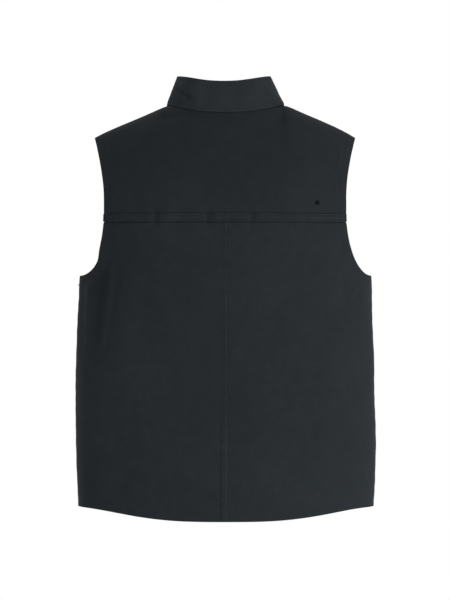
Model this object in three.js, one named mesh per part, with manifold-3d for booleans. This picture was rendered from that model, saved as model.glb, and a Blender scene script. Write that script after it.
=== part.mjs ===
// A canvas work vest with a stand collar, in the form it has when it is worn.
// Millimetres, +Z up, +X the wearer's right, +Y the wearer's front.
// The origin is the middle of the neck, level with the points where shoulders and collar meet.
import * as THREE from 'three';
import { mergeVertices } from 'three/addons/utils/BufferGeometryUtils.js';
import Module from 'manifold-3d';

// Driving sizes, millimetres
const bodyLength = 692.8; // from the neck points to the side hem
const tailDrop = 19.9; // how far the middle of the back hem hangs below the side hem
const tailHalfWidth = 250; // from the middle to where the back hem is level
const bodyHalfWidth = 259; // at the widest, near the waist
const backDepth = 116; // from the shoulder line back to the shoulder blades
const frontDepth = 120; // from the shoulder line forward to the chest
const backArchDrop = 205; // where the back starts to curve forward to the shoulders
const frontArchDrop = 262; // where the front starts to curve back to the shoulders
const shoulderHalfWidth = 226;
const shoulderDrop = 55.5; // from the neck points down to the shoulder tips
const armholeDepth = 239; // from the shoulder tips down to the underarms
const backScoop = 18; // how far the back armhole edge curves in
const frontScoop = 38;
const neckHalfWidth = 99;
const neckBackDrop = 15.5;
const neckFrontDrop = 78;
const collarHeight = 51;
const collarTopHalfWidth = 80.5;
const collarBackLean = 8; // how far the collar's top edge leans in at the back
const collarFrontLean = 5;
const yokeDepth = 202; // from the neck points to the yoke seam
const cloth = 2; // body panels
const collarCloth = 3;
const foldedStrip = 1.2; // felled bands, facings and tapes
const pieceGap = 0.3; // between pieces that are sewn together
const facingGap = 0.6; // between a panel and the strip turned in behind it
const yokeFellWidth = 12;
const backFellWidth = 9;
const armholeFacingWidth = 17;
const hemFacingWidth = 30;
const collarSeat = 0.35; // from the necklines up to the collar
const facingInset = 1; // a facing ends this far inside the edge that it backs
const zipOpening = 8; // between the two front edges
const zipTapeWidth = 30;
const zipTeethWidth = 7;
const zipTeethProud = 0.3;
const sliderWidth = 10;
const sliderLength = 14;
const sliderHeight = 3.4;
const sliderDownShare = 0.75; // of its length, from the collar's top down to its middle
const sliderRunsIn = 1; // how deep the slider's stem reaches into the teeth
const pullLength = 30;
const pullWidth = 7;
const pullThickness = 1.6;
const pullOverlap = 3; // along the slider
const dotDiameter = 8.5;
const dotThickness = 0.8;
const dotAcross = 0.61 * bodyHalfWidth; // to the wearer's right of the middle
const dotDrop = 0.847 * yokeDepth; // below the neck points
const foldReach = 10; // the deepest drape of the cloth

// The vest's sections. down: share of bodyLength. width, back and front: shares of
// bodyHalfWidth, backDepth and frontDepth. round: share of the two roundness exponents.
const sections = [
  { down: 0.0, width: 0.925, back: 0.96, front: 0.92, round: 1.0 },
  { down: 0.15, width: 0.92, back: 1.0, front: 0.97, round: 1.0 },
  { down: 0.27, width: 0.93, back: 1.0, front: 1.0, round: 1.08 },
  { down: 0.425, width: 0.975, back: 0.97, front: 1.0, round: 1.16 },
  { down: 0.52, width: 0.988, back: 0.94, front: 0.99, round: 1.1 },
  { down: 0.69, width: 1.0, back: 0.92, front: 0.97, round: 1.02 },
  { down: 0.85, width: 0.998, back: 0.93, front: 0.96, round: 1.0 },
  { down: 1.0, width: 0.988, back: 0.95, front: 0.96, round: 1.0 },
];

// The main drapes. side: -1 the back, 1 the front. top and bottom: where the drape's middle
// line starts and ends, down as a share of bodyLength, across as a share of bodyHalfWidth.
// width: share of bodyHalfWidth. deep: share of foldReach, below 0 for a valley.
const drapes = [
  { side: -1, topDown: 0.36, topAcross: -0.77, endDown: 0.62, endAcross: -0.92, width: 0.07, deep: -0.9 },
  { side: -1, topDown: 0.36, topAcross: 0.8, endDown: 0.6, endAcross: 0.93, width: 0.06, deep: -0.35 },
  { side: -1, topDown: 0.3, topAcross: -0.52, endDown: 0.95, endAcross: -0.6, width: 0.1, deep: 0.45 },
  { side: -1, topDown: 0.32, topAcross: 0.45, endDown: 0.98, endAcross: 0.5, width: 0.12, deep: 0.4 },
  { side: -1, topDown: 0.5, topAcross: -0.2, endDown: 1.05, endAcross: -0.24, width: 0.1, deep: -0.35 },
  { side: 1, topDown: 0.38, topAcross: -0.62, endDown: 0.95, endAcross: -0.7, width: 0.11, deep: -0.5 },
  { side: 1, topDown: 0.38, topAcross: 0.62, endDown: 0.95, endAcross: 0.7, width: 0.11, deep: -0.5 },
];

// Shape exponents
const backRoundness = 0.43; // 0.5 is an ellipse, less is squarer at the sides
const frontRoundness = 0.46;
const backArchPower = 2;
const frontArchPower = 1.7;
const neckBackPower = 2.2;
const scoopPower = 1.9;
const scoopEnds = 0.46; // share of armholeDepth where the edge is furthest in
const underarmStarts = 0.55; // share of armholeDepth where the edge turns out to the side
const columnPower = 2.5; // how the columns of a panel gather towards the armhole
const shoulderStraightShare = 0.93;
const shoulderTipPower = 6;
const tailPower = 1.67;
const foldEnds = 3; // a drape fades in over one such part of its length, and out over another
const foldClear = 0.3; // radians from the side seam within which the drapes fade out

// Grid counts
const neckColumns = 5;
const shoulderColumns = 9;
const bodyRows = 11;
const yokeRows = 8;
const frontShoulderRows = 11;
const collarRows = 3;
// Rows near the underarm, as shares of armholeDepth above it
const underarmRows = [0, 0.008, 0.03, 0.065, 0.11, 0.17, 0.25, 0.32];
const rowSpacing = 0.04; // the least share between the last of these rows and the yoke seam
const arcSteps = 24; // along a stretch of the vest's side that is measured
const halvings = 40; // when a value is searched between two others
const averagings = 60; // when a column's top is searched
const angleStep = 0.02; // radians, for the direction of the face
const dotSides = 24;
const weldDistance = 1e-4;

const BACK = -1;
const FRONT = 1;
const quarterTurn = Math.PI / 2;
const underarmZ = -(shoulderDrop + armholeDepth);
const yokeZ = -yokeDepth;
const seamHalf = pieceGap / 2;

// Small helpers

function clamp(value, low, high) {
  return Math.min(high, Math.max(low, value));
}

function smoothStep(share) {
  const t = clamp(share, 0, 1);
  return t * t * (3 - 2 * t);
}

// One column of a table, read between its rows on a smooth curve
function readTable(rows, key, column, place) {
  const last = rows.length - 1;
  const at = clamp(place, rows[0][key], rows[last][key]);
  let i = 0;
  while (i < last - 1 && at > rows[i + 1][key]) i += 1;
  const slope = (a, b) => (rows[b][column] - rows[a][column]) / (rows[b][key] - rows[a][key]);
  const span = rows[i + 1][key] - rows[i][key];
  const t = (at - rows[i][key]) / span;
  const startSlope = i > 0 ? slope(i - 1, i + 1) : slope(i, i + 1);
  const endSlope = i < last - 1 ? slope(i, i + 2) : slope(i, i + 1);
  const t2 = t * t;
  const t3 = t2 * t;
  return (
    (2 * t3 - 3 * t2 + 1) * rows[i][column] +
    (t3 - 2 * t2 + t) * span * startSlope +
    (3 * t2 - 2 * t3) * rows[i + 1][column] +
    (t3 - t2) * span * endSlope
  );
}

// The value between low and high where a rising function reaches the target
function solve(rising, target, low, high) {
  let a = low;
  let b = high;
  for (let i = 0; i < halvings; i += 1) {
    const middle = (a + b) / 2;
    if (rising(middle) < target) a = middle;
    else b = middle;
  }
  return (a + b) / 2;
}

// The vest's outer face

function halfWidth(z) {
  return bodyHalfWidth * readTable(sections, 'down', 'width', -z / bodyLength);
}

function depth(side, z) {
  const share = readTable(sections, 'down', side === BACK ? 'back' : 'front', -z / bodyLength);
  return share * (side === BACK ? backDepth : frontDepth);
}

function roundnessAt(side, z) {
  const share = readTable(sections, 'down', 'round', -z / bodyLength);
  return share * (side === BACK ? backRoundness : frontRoundness);
}

// Height of the shoulder line: nearly straight out to the tip, a low dome over the neck
function shoulderLine(x) {
  const out = Math.abs(x);
  const slope = (shoulderStraightShare * shoulderDrop) / (shoulderHalfWidth - neckHalfWidth);
  if (out < neckHalfWidth) {
    return ((slope * neckHalfWidth) / 2) * (1 - (out / neckHalfWidth) ** 2);
  }
  const share = (out - neckHalfWidth) / (shoulderHalfWidth - neckHalfWidth);
  const straight = shoulderStraightShare * share;
  return -shoulderDrop * (straight + (1 - shoulderStraightShare) * share ** shoulderTipPower);
}

// Height of the top edge of the cloth: the neckline, then the shoulder line
function topEdge(side, x) {
  const out = Math.abs(x) / neckHalfWidth;
  if (out >= 1) return shoulderLine(x);
  if (side === BACK) return -neckBackDrop * (1 - out ** neckBackPower);
  return -neckFrontDrop * Math.sqrt(1 - out * out);
}

// How much of its depth the vest still has where it curves up to the shoulder line
function archShare(side, x, z) {
  const start = -(side === BACK ? backArchDrop : frontArchDrop);
  const power = side === BACK ? backArchPower : frontArchPower;
  const rise = clamp((z - start) / (shoulderLine(x) - start), 0, 1);
  return (1 - rise ** power) ** (1 / power);
}

// Half width between the two armhole edges at a height
function armholeEdge(side, z) {
  const share = clamp((-shoulderDrop - z) / armholeDepth, 0, 1);
  const scoop = side === BACK ? backScoop : frontScoop;
  const inward = 1 - (1 - Math.min(1, share / scoopEnds)) ** scoopPower;
  const turn = clamp((share - underarmStarts) / (1 - underarmStarts), 0, 1);
  const outward = 1 - Math.sqrt(1 - turn * turn);
  const reach = halfWidth(underarmZ) - shoulderHalfWidth + scoop;
  return shoulderHalfWidth - scoop * inward + reach * outward;
}

// Angle from the middle to a column at a height; u is 0 in the middle and 1 at the edge
function columnAngle(side, u, z) {
  if (z <= underarmZ) return u * quarterTurn;
  const edge = Math.asin(Math.min(1, armholeEdge(side, z) / halfWidth(z)));
  return u * quarterTurn - (quarterTurn - edge) * u ** columnPower;
}

// How far the cloth stands out in a drape: a bell across it, fading at its ends and at the seams
function drapeAt(side, x, z, angle, arch) {
  let out = 0;
  for (const fold of drapes) {
    if (fold.side !== side) continue;
    const along = (-z / bodyLength - fold.topDown) / (fold.endDown - fold.topDown);
    const middle = bodyHalfWidth * (fold.topAcross + (fold.endAcross - fold.topAcross) * along);
    const off = (x - middle) / (fold.width * bodyHalfWidth);
    const ends = smoothStep(along * foldEnds) * smoothStep((1 - along) * foldEnds);
    out += fold.deep * Math.exp(-off * off) * ends;
  }
  const nearSide = smoothStep((quarterTurn - Math.abs(angle)) / foldClear);
  return foldReach * out * nearSide * smoothStep(arch);
}

// A point of the outer face: x is halfWidth times the sine of the angle, and y the depth times
// the cosine raised to twice the roundness, with the drapes added square to the face
function facePoint(side, angle, z) {
  const wide = halfWidth(z);
  const deep = depth(side, z);
  const roundness = roundnessAt(side, z);
  const x = wide * Math.sin(angle);
  const arch = archShare(side, x, z);
  const y = deep * arch * Math.max(0, Math.cos(angle)) ** (2 * roundness);
  const out = new THREE.Vector3(x / wide ** 2, (side * y) / deep ** 2, 0).normalize();
  return new THREE.Vector3(x, side * (y + seamHalf), z).addScaledVector(
    out,
    drapeAt(side, x, z, angle, arch),
  );
}

// Columns from the middle to the edge. Inside the neck they follow equal steps round it.
function columnShares(first) {
  const across = (u) => halfWidth(0) * Math.sin(columnAngle(BACK, u, 0));
  const neckShare = solve(across, neckHalfWidth, 0, 1);
  const shares = [];
  for (let i = 0; i < neckColumns; i += 1) {
    const x = neckHalfWidth * Math.sin((quarterTurn * i) / neckColumns);
    shares.push(solve(across, Math.max(x, first), 0, 1));
  }
  for (let i = 0; i <= shoulderColumns; i += 1) {
    shares.push(neckShare + ((1 - neckShare) * i) / shoulderColumns);
  }
  return shares;
}

// Height where a column meets the top edge of the cloth, inside the neckline or out on the shoulder
function columnTop(side, u, inNeck) {
  let z = -shoulderDrop / 2;
  for (let i = 0; i < averagings; i += 1) {
    const x = halfWidth(z) * Math.sin(columnAngle(side, u, z));
    z = (z + (inNeck ? topEdge(side, x) : shoulderLine(x))) / 2;
  }
  return z;
}

// Walls of cloth

// Normals of a grid of points by differences, with the named parts of some rows and columns
// taken out, so that two pieces that meet at a seam have the same thickness there
function gridNormals(points, outward, flat) {
  const rows = points.length;
  const columns = points[0].length;
  return points.map((row, j) =>
    row.map((point, i) => {
      const along = new THREE.Vector3().subVectors(
        row[Math.min(columns - 1, i + 1)],
        row[Math.max(0, i - 1)],
      );
      const up = new THREE.Vector3().subVectors(
        points[Math.min(rows - 1, j + 1)][i],
        points[Math.max(0, j - 1)][i],
      );
      const normal = new THREE.Vector3().crossVectors(along, up).multiplyScalar(outward);
      for (const rule of flat) {
        if (rule.test(j, i)) normal[rule.axis] = 0;
      }
      return normal.normalize();
    }),
  );
}

// A closed wall between two layers of the same grid, with its four rims
function wallGeometry(outer, inner, closedRound) {
  const rows = outer.length;
  const columns = outer[0].length;
  const positions = [];
  for (const layer of [outer, inner]) {
    for (const row of layer) {
      for (const point of row) positions.push(point.x, point.y, point.z);
    }
  }
  const size = rows * columns;
  const at = (layer, j, i) => layer * size + j * columns + (i % columns);
  const index = [];
  const quad = (a, b, c, d) => index.push(a, b, c, a, c, d);
  const cells = closedRound ? columns : columns - 1;
  for (let j = 0; j < rows - 1; j += 1) {
    for (let i = 0; i < cells; i += 1) {
      quad(at(0, j, i), at(0, j, i + 1), at(0, j + 1, i + 1), at(0, j + 1, i));
      quad(at(1, j, i), at(1, j + 1, i), at(1, j + 1, i + 1), at(1, j, i + 1));
    }
  }
  for (let i = 0; i < cells; i += 1) {
    quad(at(0, 0, i), at(1, 0, i), at(1, 0, i + 1), at(0, 0, i + 1));
    quad(at(0, rows - 1, i), at(0, rows - 1, i + 1), at(1, rows - 1, i + 1), at(1, rows - 1, i));
  }
  if (!closedRound) {
    for (let j = 0; j < rows - 1; j += 1) {
      quad(at(0, j, 0), at(0, j + 1, 0), at(1, j + 1, 0), at(1, j, 0));
      const last = columns - 1;
      quad(at(0, j, last), at(1, j, last), at(1, j + 1, last), at(0, j + 1, last));
    }
  }
  return outwardGeometry(positions, index);
}

// A closed body whose faces are turned to point out, if its volume comes out below zero
function outwardGeometry(positions, index) {
  let volume = 0;
  const corner = [0, 1, 2].map(() => new THREE.Vector3());
  for (let t = 0; t < index.length; t += 3) {
    corner.forEach((point, k) => point.fromArray(positions, 3 * index[t + k]));
    volume += corner[0].dot(corner[1].clone().cross(corner[2]));
  }
  const faces = [...index];
  if (volume < 0) {
    for (let t = 0; t < faces.length; t += 3) {
      [faces[t + 1], faces[t + 2]] = [faces[t + 2], faces[t + 1]];
    }
  }
  const geometry = new THREE.BufferGeometry();
  geometry.setAttribute('position', new THREE.Float32BufferAttribute(positions, 3));
  geometry.setIndex(faces);
  return geometry;
}

function shiftGrid(points, normals, distance) {
  return points.map((row, j) =>
    row.map((point, i) => point.clone().addScaledVector(normals[j][i], distance)),
  );
}

// A panel: its outer grid, its normals, and its wall
function panel(points, outward, flat, thickness) {
  const normals = gridNormals(points, outward, flat);
  const inner = shiftGrid(points, normals, -thickness);
  return { points, normals, inner, geometry: wallGeometry(points, inner, false) };
}

// A strip laid on a panel's grid: from depth to depth, below 0 for outside
function stripOn(points, normals, near, far) {
  const outer = shiftGrid(points, normals, -near);
  const inner = shiftGrid(points, normals, -far);
  return wallGeometry(outer, inner, false);
}

function mixPoint(a, b, share) {
  return new THREE.Vector3().lerpVectors(a, b, share);
}

// Body panels. A panel's rows run from the hem up and its columns from the middle to the side.

const backShares = columnShares(0);
const frontShares = columnShares(zipOpening / 2);
const lastColumn = backShares.length - 1;
const underarmRow = bodyRows + 1;
const yokeSeamRise = (yokeZ - underarmZ) / armholeDepth;

function hemHeight(side, u) {
  if (side === FRONT) return -bodyLength;
  const out = (halfWidth(-bodyLength) * Math.sin(u * quarterTurn)) / tailHalfWidth;
  return -bodyLength - tailDrop * (1 - smoothStep(out ** tailPower));
}

// Heights of a lower column up to the underarm: the hem, the hem strip's top, then even rows
function lowerHeights(side, u) {
  const hem = hemHeight(side, u);
  const stripTop = hem + hemFacingWidth;
  const heights = [hem];
  for (let j = 0; j < bodyRows; j += 1) {
    heights.push(stripTop + ((underarmZ - stripTop) * j) / bodyRows);
  }
  return heights;
}

function backUpper() {
  const rows = underarmRows.filter((share) => share < yokeSeamRise - rowSpacing);
  return [...rows.map((share) => underarmZ + share * armholeDepth), yokeZ - seamHalf];
}

// Rows from a start to the top that close up towards the shoulder line, where the cloth turns over
function easedRows(start, top, count) {
  const heights = [];
  for (let j = 1; j <= count; j += 1) {
    heights.push(start + (top - start) * Math.sin((quarterTurn * j) / count));
  }
  return heights;
}

function frontUpper(u, inNeck) {
  const rows = underarmRows.map((share) => underarmZ + share * armholeDepth);
  const top = columnTop(FRONT, u, inNeck);
  return [...rows, ...easedRows(rows[rows.length - 1], top, frontShoulderRows)];
}

function bodyPanel(side, hand) {
  const shares = side === BACK ? backShares : frontShares;
  const upper = side === BACK ? backUpper : frontUpper;
  const middleX = side === BACK ? seamHalf : zipOpening / 2;
  const columns = shares.map((u, i) => {
    const heights = [...lowerHeights(side, u), ...upper(u, i < neckColumns)];
    return heights.map((z) => {
      const point = facePoint(side, hand * columnAngle(side, u, z), z);
      if (i === 0) point.x = hand * middleX;
      return point;
    });
  });
  const rows = columns[0].map((_, j) => columns.map((column) => column[j]));
  const lastRow = rows.length - 1;
  const flat = [
    { axis: 'x', test: (j, i) => i === 0 },
    { axis: 'y', test: (j, i) => i === lastColumn && j <= underarmRow },
    side === BACK
      ? { axis: 'z', test: (j) => j === lastRow }
      : { axis: 'y', test: (j, i) => j === lastRow && i >= neckColumns },
  ];
  return panel(rows, -side * hand, flat, cloth);
}

// The yoke: its columns run from the left armhole to the right one, its rows from its seam up
function yokePanel() {
  const columns = [];
  for (let i = -lastColumn; i <= lastColumn; i += 1) {
    const u = backShares[Math.abs(i)];
    const hand = Math.sign(i);
    const start = yokeZ + seamHalf;
    const bandTop = start + yokeFellWidth;
    const top = columnTop(BACK, u, Math.abs(i) < neckColumns);
    const heights = [start, bandTop, ...easedRows(bandTop, top, yokeRows)];
    columns.push(heights.map((z) => facePoint(BACK, hand * columnAngle(BACK, u, z), z)));
  }
  const rows = columns[0].map((_, j) => columns.map((column) => column[j]));
  const lastRow = rows.length - 1;
  const onShoulder = (i) => Math.abs(i - lastColumn) >= neckColumns;
  const flat = [
    { axis: 'z', test: (j) => j === 0 },
    { axis: 'y', test: (j, i) => j === lastRow && onShoulder(i) },
  ];
  return panel(rows, 1, flat, cloth);
}

// The collar: its lower edge stands just above the necklines of the yoke and the front panels
function collarPanel(yoke, frontLeft, frontRight) {
  const topRow = (piece) => piece.points[piece.points.length - 1];
  const neckPoint = (hand) => new THREE.Vector3(hand * neckHalfWidth, 0, 0);
  const foot = [
    ...topRow(frontLeft).slice(0, neckColumns),
    neckPoint(-1),
    ...topRow(yoke).slice(lastColumn - neckColumns + 1, lastColumn + neckColumns),
    neckPoint(1),
    ...topRow(frontRight).slice(0, neckColumns).reverse(),
  ];
  const backReach = -topRow(yoke)[lastColumn].y;
  const frontReach = topRow(frontLeft)[0].y;
  const last = foot.length - 1;
  const rows = [];
  for (let j = 0; j <= collarRows; j += 1) {
    const share = j / collarRows;
    rows.push(
      foot.map((start, i) => {
        const lean = start.y < 0 ? collarBackLean / backReach : collarFrontLean / frontReach;
        const narrow = i === 0 || i === last ? 0 : 1 - collarTopHalfWidth / neckHalfWidth;
        return new THREE.Vector3(
          start.x * (1 - share * narrow),
          start.y * (1 - share * lean),
          start.z + collarSeat + share * collarHeight,
        );
      }),
    );
  }
  return panel(rows, 1, [{ axis: 'x', test: (j, i) => i === 0 || i === last }], collarCloth);
}

// Felled bands lie on the outside of the panels that they join

function backFellGeometry(left, right) {
  const edge = (row) => {
    const share = (backFellWidth / 2 - seamHalf) / (Math.abs(row[1].x) - seamHalf);
    return mixPoint(row[0], row[1], share);
  };
  const points = left.points.map((row, j) => {
    const other = right.points[j];
    return [edge(row), mixPoint(row[0], other[0], 0.5), edge(other)];
  });
  const normals = left.normals.map((row) => [row[0], row[0], row[0]]);
  return stripOn(points, normals, -pieceGap - foldedStrip, -pieceGap);
}

function yokeFellGeometry(yoke) {
  const points = yoke.points.slice(0, 2);
  const normals = yoke.normals.slice(0, 2);
  return stripOn(points, normals, -pieceGap - foldedStrip, -pieceGap);
}

// How far along a row's first cell, from the front edge, a place lies that is so far from the middle
function shareFromMiddle(row, across) {
  const start = Math.abs(row[0].x);
  return (across - start) / (Math.abs(row[1].x) - start);
}

// The hem facing: one strip behind the lowest row of all four panels, up to the zip's tapes
function hemFacingGeometry(frontLeft, backLeft, backRight, frontRight) {
  const besideTape = (piece, key, j) => {
    const share = shareFromMiddle(piece.points[j], zipTapeWidth / 2 + pieceGap);
    return mixPoint(piece[key][j][0], piece[key][j][1], share);
  };
  const ring = (key, j) => [
    besideTape(frontLeft, key, j),
    ...frontLeft[key][j].slice(1, lastColumn),
    ...backLeft[key][j].slice(1).reverse(),
    ...backRight[key][j],
    ...frontRight[key][j].slice(1, lastColumn).reverse(),
    besideTape(frontRight, key, j),
  ];
  const low = ring('points', 0);
  const high = ring('points', 1);
  const raised = low.map((point, i) => mixPoint(point, high[i], facingInset / hemFacingWidth));
  const near = cloth + facingGap;
  return stripOn([raised, high], [ring('normals', 0), ring('normals', 1)], near, near + foldedStrip);
}

// The armhole facings: a closed strip behind each armhole edge. Near the underarm its width is
// measured square to the edge on the vest's side laid flat, and higher up along the panel's rows.

// Arc length round the vest from the side seam to an angle, and the angle for an arc length
function arcFromSide(side, z, angle) {
  let length = 0;
  let last = facePoint(side, quarterTurn, z);
  for (let i = 1; i <= arcSteps; i += 1) {
    const next = facePoint(side, quarterTurn - ((quarterTurn - angle) * i) / arcSteps, z);
    length += next.distanceTo(last);
    last = next;
  }
  return length;
}

function angleAtArc(side, z, length) {
  const turned = (turn) => arcFromSide(side, z, quarterTurn - turn);
  return quarterTurn - solve(turned, length, 0, quarterTurn / 2);
}

function faceNormal(side, hand, angle, z) {
  const a = facePoint(side, hand * Math.min(quarterTurn, angle + angleStep), z);
  const b = facePoint(side, hand * (angle - angleStep), z);
  const up = facePoint(side, hand * angle, z + 1).sub(facePoint(side, hand * angle, z - 1));
  const normal = new THREE.Vector3().crossVectors(a.sub(b), up).multiplyScalar(-side * hand);
  return normal.normalize();
}

// One station of a facing: its edge point, and how to reach a point some way in from it
function rowStation(piece, j, fromEnd) {
  const row = fromEnd ? [...piece.points[j]].reverse() : piece.points[j];
  const normals = fromEnd ? [...piece.normals[j]].reverse() : piece.normals[j];
  return {
    edge: row[0],
    inward: (width) => {
      let left = width;
      let i = 0;
      while (left > row[i].distanceTo(row[i + 1])) {
        left -= row[i].distanceTo(row[i + 1]);
        i += 1;
      }
      const share = left / row[i].distanceTo(row[i + 1]);
      const normal = mixPoint(normals[i], normals[i + 1], share).normalize();
      return { point: mixPoint(row[i], row[i + 1], share), normal };
    },
  };
}

function flatStation(hand, flatPoints, k) {
  const before = flatPoints[Math.max(0, k - 1)];
  const here = flatPoints[k];
  const after = flatPoints[Math.min(flatPoints.length - 1, k + 1)];
  const along = new THREE.Vector2(after.arc - before.arc, after.z - before.z).normalize();
  return {
    inward: (width) => {
      const arc = here.arc - along.y * width;
      const z = here.z + along.x * width;
      const side = arc < 0 ? BACK : FRONT;
      const angle = angleAtArc(side, z, Math.abs(arc));
      const point = facePoint(side, hand * angle, z);
      return { point, normal: faceNormal(side, hand, angle, z) };
    },
  };
}

// The underarm's edge points, laid flat, from the front over the bottom to the back
function underarmCurve() {
  const near = underarmRows.filter((share) => share < underarmStarts / 3);
  const heights = near.map((share) => underarmZ + share * armholeDepth);
  const flat = (side, z) => {
    const angle = Math.asin(Math.min(1, armholeEdge(side, z) / halfWidth(z)));
    return { arc: side * arcFromSide(side, z, angle), z };
  };
  const front = heights.slice(1).map((z) => flat(FRONT, z));
  const back = heights.slice(1).map((z) => flat(BACK, z));
  return [...front.reverse(), { arc: 0, z: underarmZ }, ...back];
}

function armholeFacingGeometry(hand, backPiece, yoke, frontPiece) {
  const curve = underarmCurve();
  const nearRows = (curve.length - 1) / 2;
  const stations = curve.map((_, k) => flatStation(hand, curve, k));
  const endOf = (piece) => piece.points.length - 1;
  for (let j = underarmRow + nearRows + 1; j < endOf(backPiece); j += 1) {
    stations.push(rowStation(backPiece, j, true));
  }
  for (let j = 0; j <= endOf(yoke); j += 1) stations.push(rowStation(yoke, j, hand > 0));
  for (let j = endOf(frontPiece) - 1; j > underarmRow + nearRows; j -= 1) {
    stations.push(rowStation(frontPiece, j, true));
  }
  const widths = [facingInset, armholeFacingWidth / 2, armholeFacingWidth];
  const grid = widths.map((width) => stations.map((station) => station.inward(width)));
  const layer = (distance) =>
    grid.map((row) => row.map(({ point, normal }) => point.clone().addScaledVector(normal, -distance)));
  const near = cloth + facingGap;
  return wallGeometry(layer(near), layer(near + foldedStrip), true);
}

// The zip: one section of tape and teeth, carried up the middle of the front and the collar

// Points across the section, and how far in they lie. The tape's edges lie deeper by the amount
// that the cloth curves away there.
function zipSection(wall, curve) {
  const tapeNear = wall + facingGap;
  const tapeFar = tapeNear + foldedStrip;
  const halfTape = zipTapeWidth / 2;
  const halfTeeth = zipTeethWidth / 2;
  return [
    [-halfTape, tapeFar + curve],
    [0, tapeFar],
    [halfTape, tapeFar + curve],
    [halfTape, tapeNear + curve],
    [halfTeeth, tapeNear],
    [halfTeeth, -zipTeethProud],
    [-halfTeeth, -zipTeethProud],
    [-halfTeeth, tapeNear],
    [-halfTape, tapeNear + curve],
  ];
}

function curveAtTape(row) {
  return row[0].distanceTo(row[1]) > 0
    ? Math.max(0, row[0].y - mixPoint(row[0], row[1], shareFromMiddle(row, zipTapeWidth / 2)).y)
    : 0;
}

function zipGeometry(frontLeft, frontRight, collar) {
  const stations = frontLeft.points.map((row, j) => ({
    middle: mixPoint(row[0], frontRight.points[j][0], 0.5),
    normal: frontLeft.normals[j][0],
    wall: cloth,
    curve: curveAtTape(row),
  }));
  collar.points.forEach((row, j) => {
    const middle = mixPoint(row[0], row[row.length - 1], 0.5);
    stations.push({
      middle,
      normal: collar.normals[j][0],
      wall: collarCloth,
      curve: curveAtTape(row),
    });
  });
  const neck = frontLeft.points.length;
  const meet = stations[neck];
  meet.normal = mixPoint(meet.normal, stations[neck - 1].normal, 0.5).normalize();
  stations.splice(neck - 1, 1);
  const positions = [];
  for (const { middle, normal, wall, curve } of stations) {
    for (const [x, down] of zipSection(wall, curve)) {
      const point = middle.clone().addScaledVector(normal, -down);
      positions.push(x, point.y, point.z);
    }
  }
  const size = zipSection(cloth, 0).length;
  const index = [];
  for (let k = 0; k < stations.length - 1; k += 1) {
    for (let i = 0; i < size; i += 1) {
      const next = (i + 1) % size;
      const a = k * size + i;
      const b = k * size + next;
      index.push(a, b, b + size, a, b + size, a + size);
    }
  }
  const outline = zipSection(cloth, 0).map(([x, down]) => new THREE.Vector2(x, down));
  const top = (stations.length - 1) * size;
  for (const face of THREE.ShapeUtils.triangulateShape(outline, [])) {
    const sameTurn = THREE.ShapeUtils.area(face.map((i) => outline[i])) * THREE.ShapeUtils.area(outline) > 0;
    const [a, b, c] = sameTurn ? face : [...face].reverse();
    index.push(a, c, b, top + a, top + b, top + c);
  }
  return outwardGeometry(positions, index);
}

// The slider near the collar's top: a plate over the teeth, a stem down into them, and a pull tab
function sliderBlocks(collar) {
  const rows = collar.points;
  const top = mixPoint(rows[collarRows][0], rows[collarRows][rows[0].length - 1], 0.5);
  const foot = mixPoint(rows[0][0], rows[0][rows[0].length - 1], 0.5);
  const up = top.clone().sub(foot).normalize();
  const across = new THREE.Vector3(1, 0, 0);
  const out = new THREE.Vector3().crossVectors(up, across).negate().normalize();
  if (out.y < 0) out.negate();
  const block = (width, length, near, far, centreDown) => {
    const geometry = new THREE.BoxGeometry(width, length, far - near);
    const centre = top.clone().addScaledVector(up, -centreDown).addScaledVector(out, (near + far) / 2);
    const axes = new THREE.Matrix4().makeBasis(across, up, new THREE.Vector3().crossVectors(across, up));
    return geometry.applyMatrix4(axes.setPosition(centre));
  };
  const near = pieceGap + zipTeethProud;
  const down = sliderLength * sliderDownShare;
  const pullDown = down + (sliderLength + pullLength) / 2 - pullOverlap;
  const stem = { width: zipTeethWidth - sliderRunsIn, length: sliderLength - 2 * sliderRunsIn };
  return [
    block(sliderWidth, sliderLength, near, near + sliderHeight, down),
    block(stem.width, stem.length, -sliderRunsIn, near + sliderRunsIn, down),
    block(pullWidth, pullLength, near + sliderRunsIn, near + sliderRunsIn + pullThickness, pullDown),
  ];
}

const wasm = await Module();
wasm.setup();

function toSolid(geometry) {
  const bare = new THREE.BufferGeometry();
  bare.setAttribute('position', geometry.getAttribute('position'));
  bare.setIndex(geometry.getIndex());
  const merged = mergeVertices(bare, weldDistance);
  return new wasm.Manifold(
    new wasm.Mesh({
      numProp: 3,
      vertProperties: new Float32Array(merged.getAttribute('position').array),
      triVerts: new Uint32Array(merged.getIndex().array),
    }),
  );
}

function toGeometry(solid) {
  const mesh = solid.getMesh();
  const geometry = new THREE.BufferGeometry();
  geometry.setAttribute('position', new THREE.Float32BufferAttribute(mesh.vertProperties, 3));
  geometry.setIndex([...mesh.triVerts]);
  return geometry;
}

function joined(geometries) {
  const [first, ...others] = geometries.map(toSolid);
  return toGeometry(others.reduce((solid, other) => solid.add(other), first));
}

// A strip with the room of some panels cut from it, each panel thicker by the gap between pieces
function cutClear(geometry, panels) {
  const grown = panels.map(({ points, normals }) =>
    toSolid(wallGeometry(points, shiftGrid(points, normals, -cloth - pieceGap), false)),
  );
  return toGeometry(grown.reduce((solid, other) => solid.subtract(other), toSolid(geometry)));
}

// The plain dot on the yoke: a thin disc lying on the cloth
function dotMesh(material) {
  const z = -dotDrop;
  const angle = Math.asin(dotAcross / halfWidth(z));
  const normal = faceNormal(BACK, 1, angle, z);
  const geometry = new THREE.CylinderGeometry(dotDiameter / 2, dotDiameter / 2, dotThickness, dotSides);
  const mesh = new THREE.Mesh(geometry, material);
  mesh.quaternion.setFromUnitVectors(new THREE.Vector3(0, 1, 0), normal);
  mesh.position.copy(facePoint(BACK, angle, z)).addScaledVector(normal, pieceGap + dotThickness / 2);
  return mesh;
}

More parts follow.
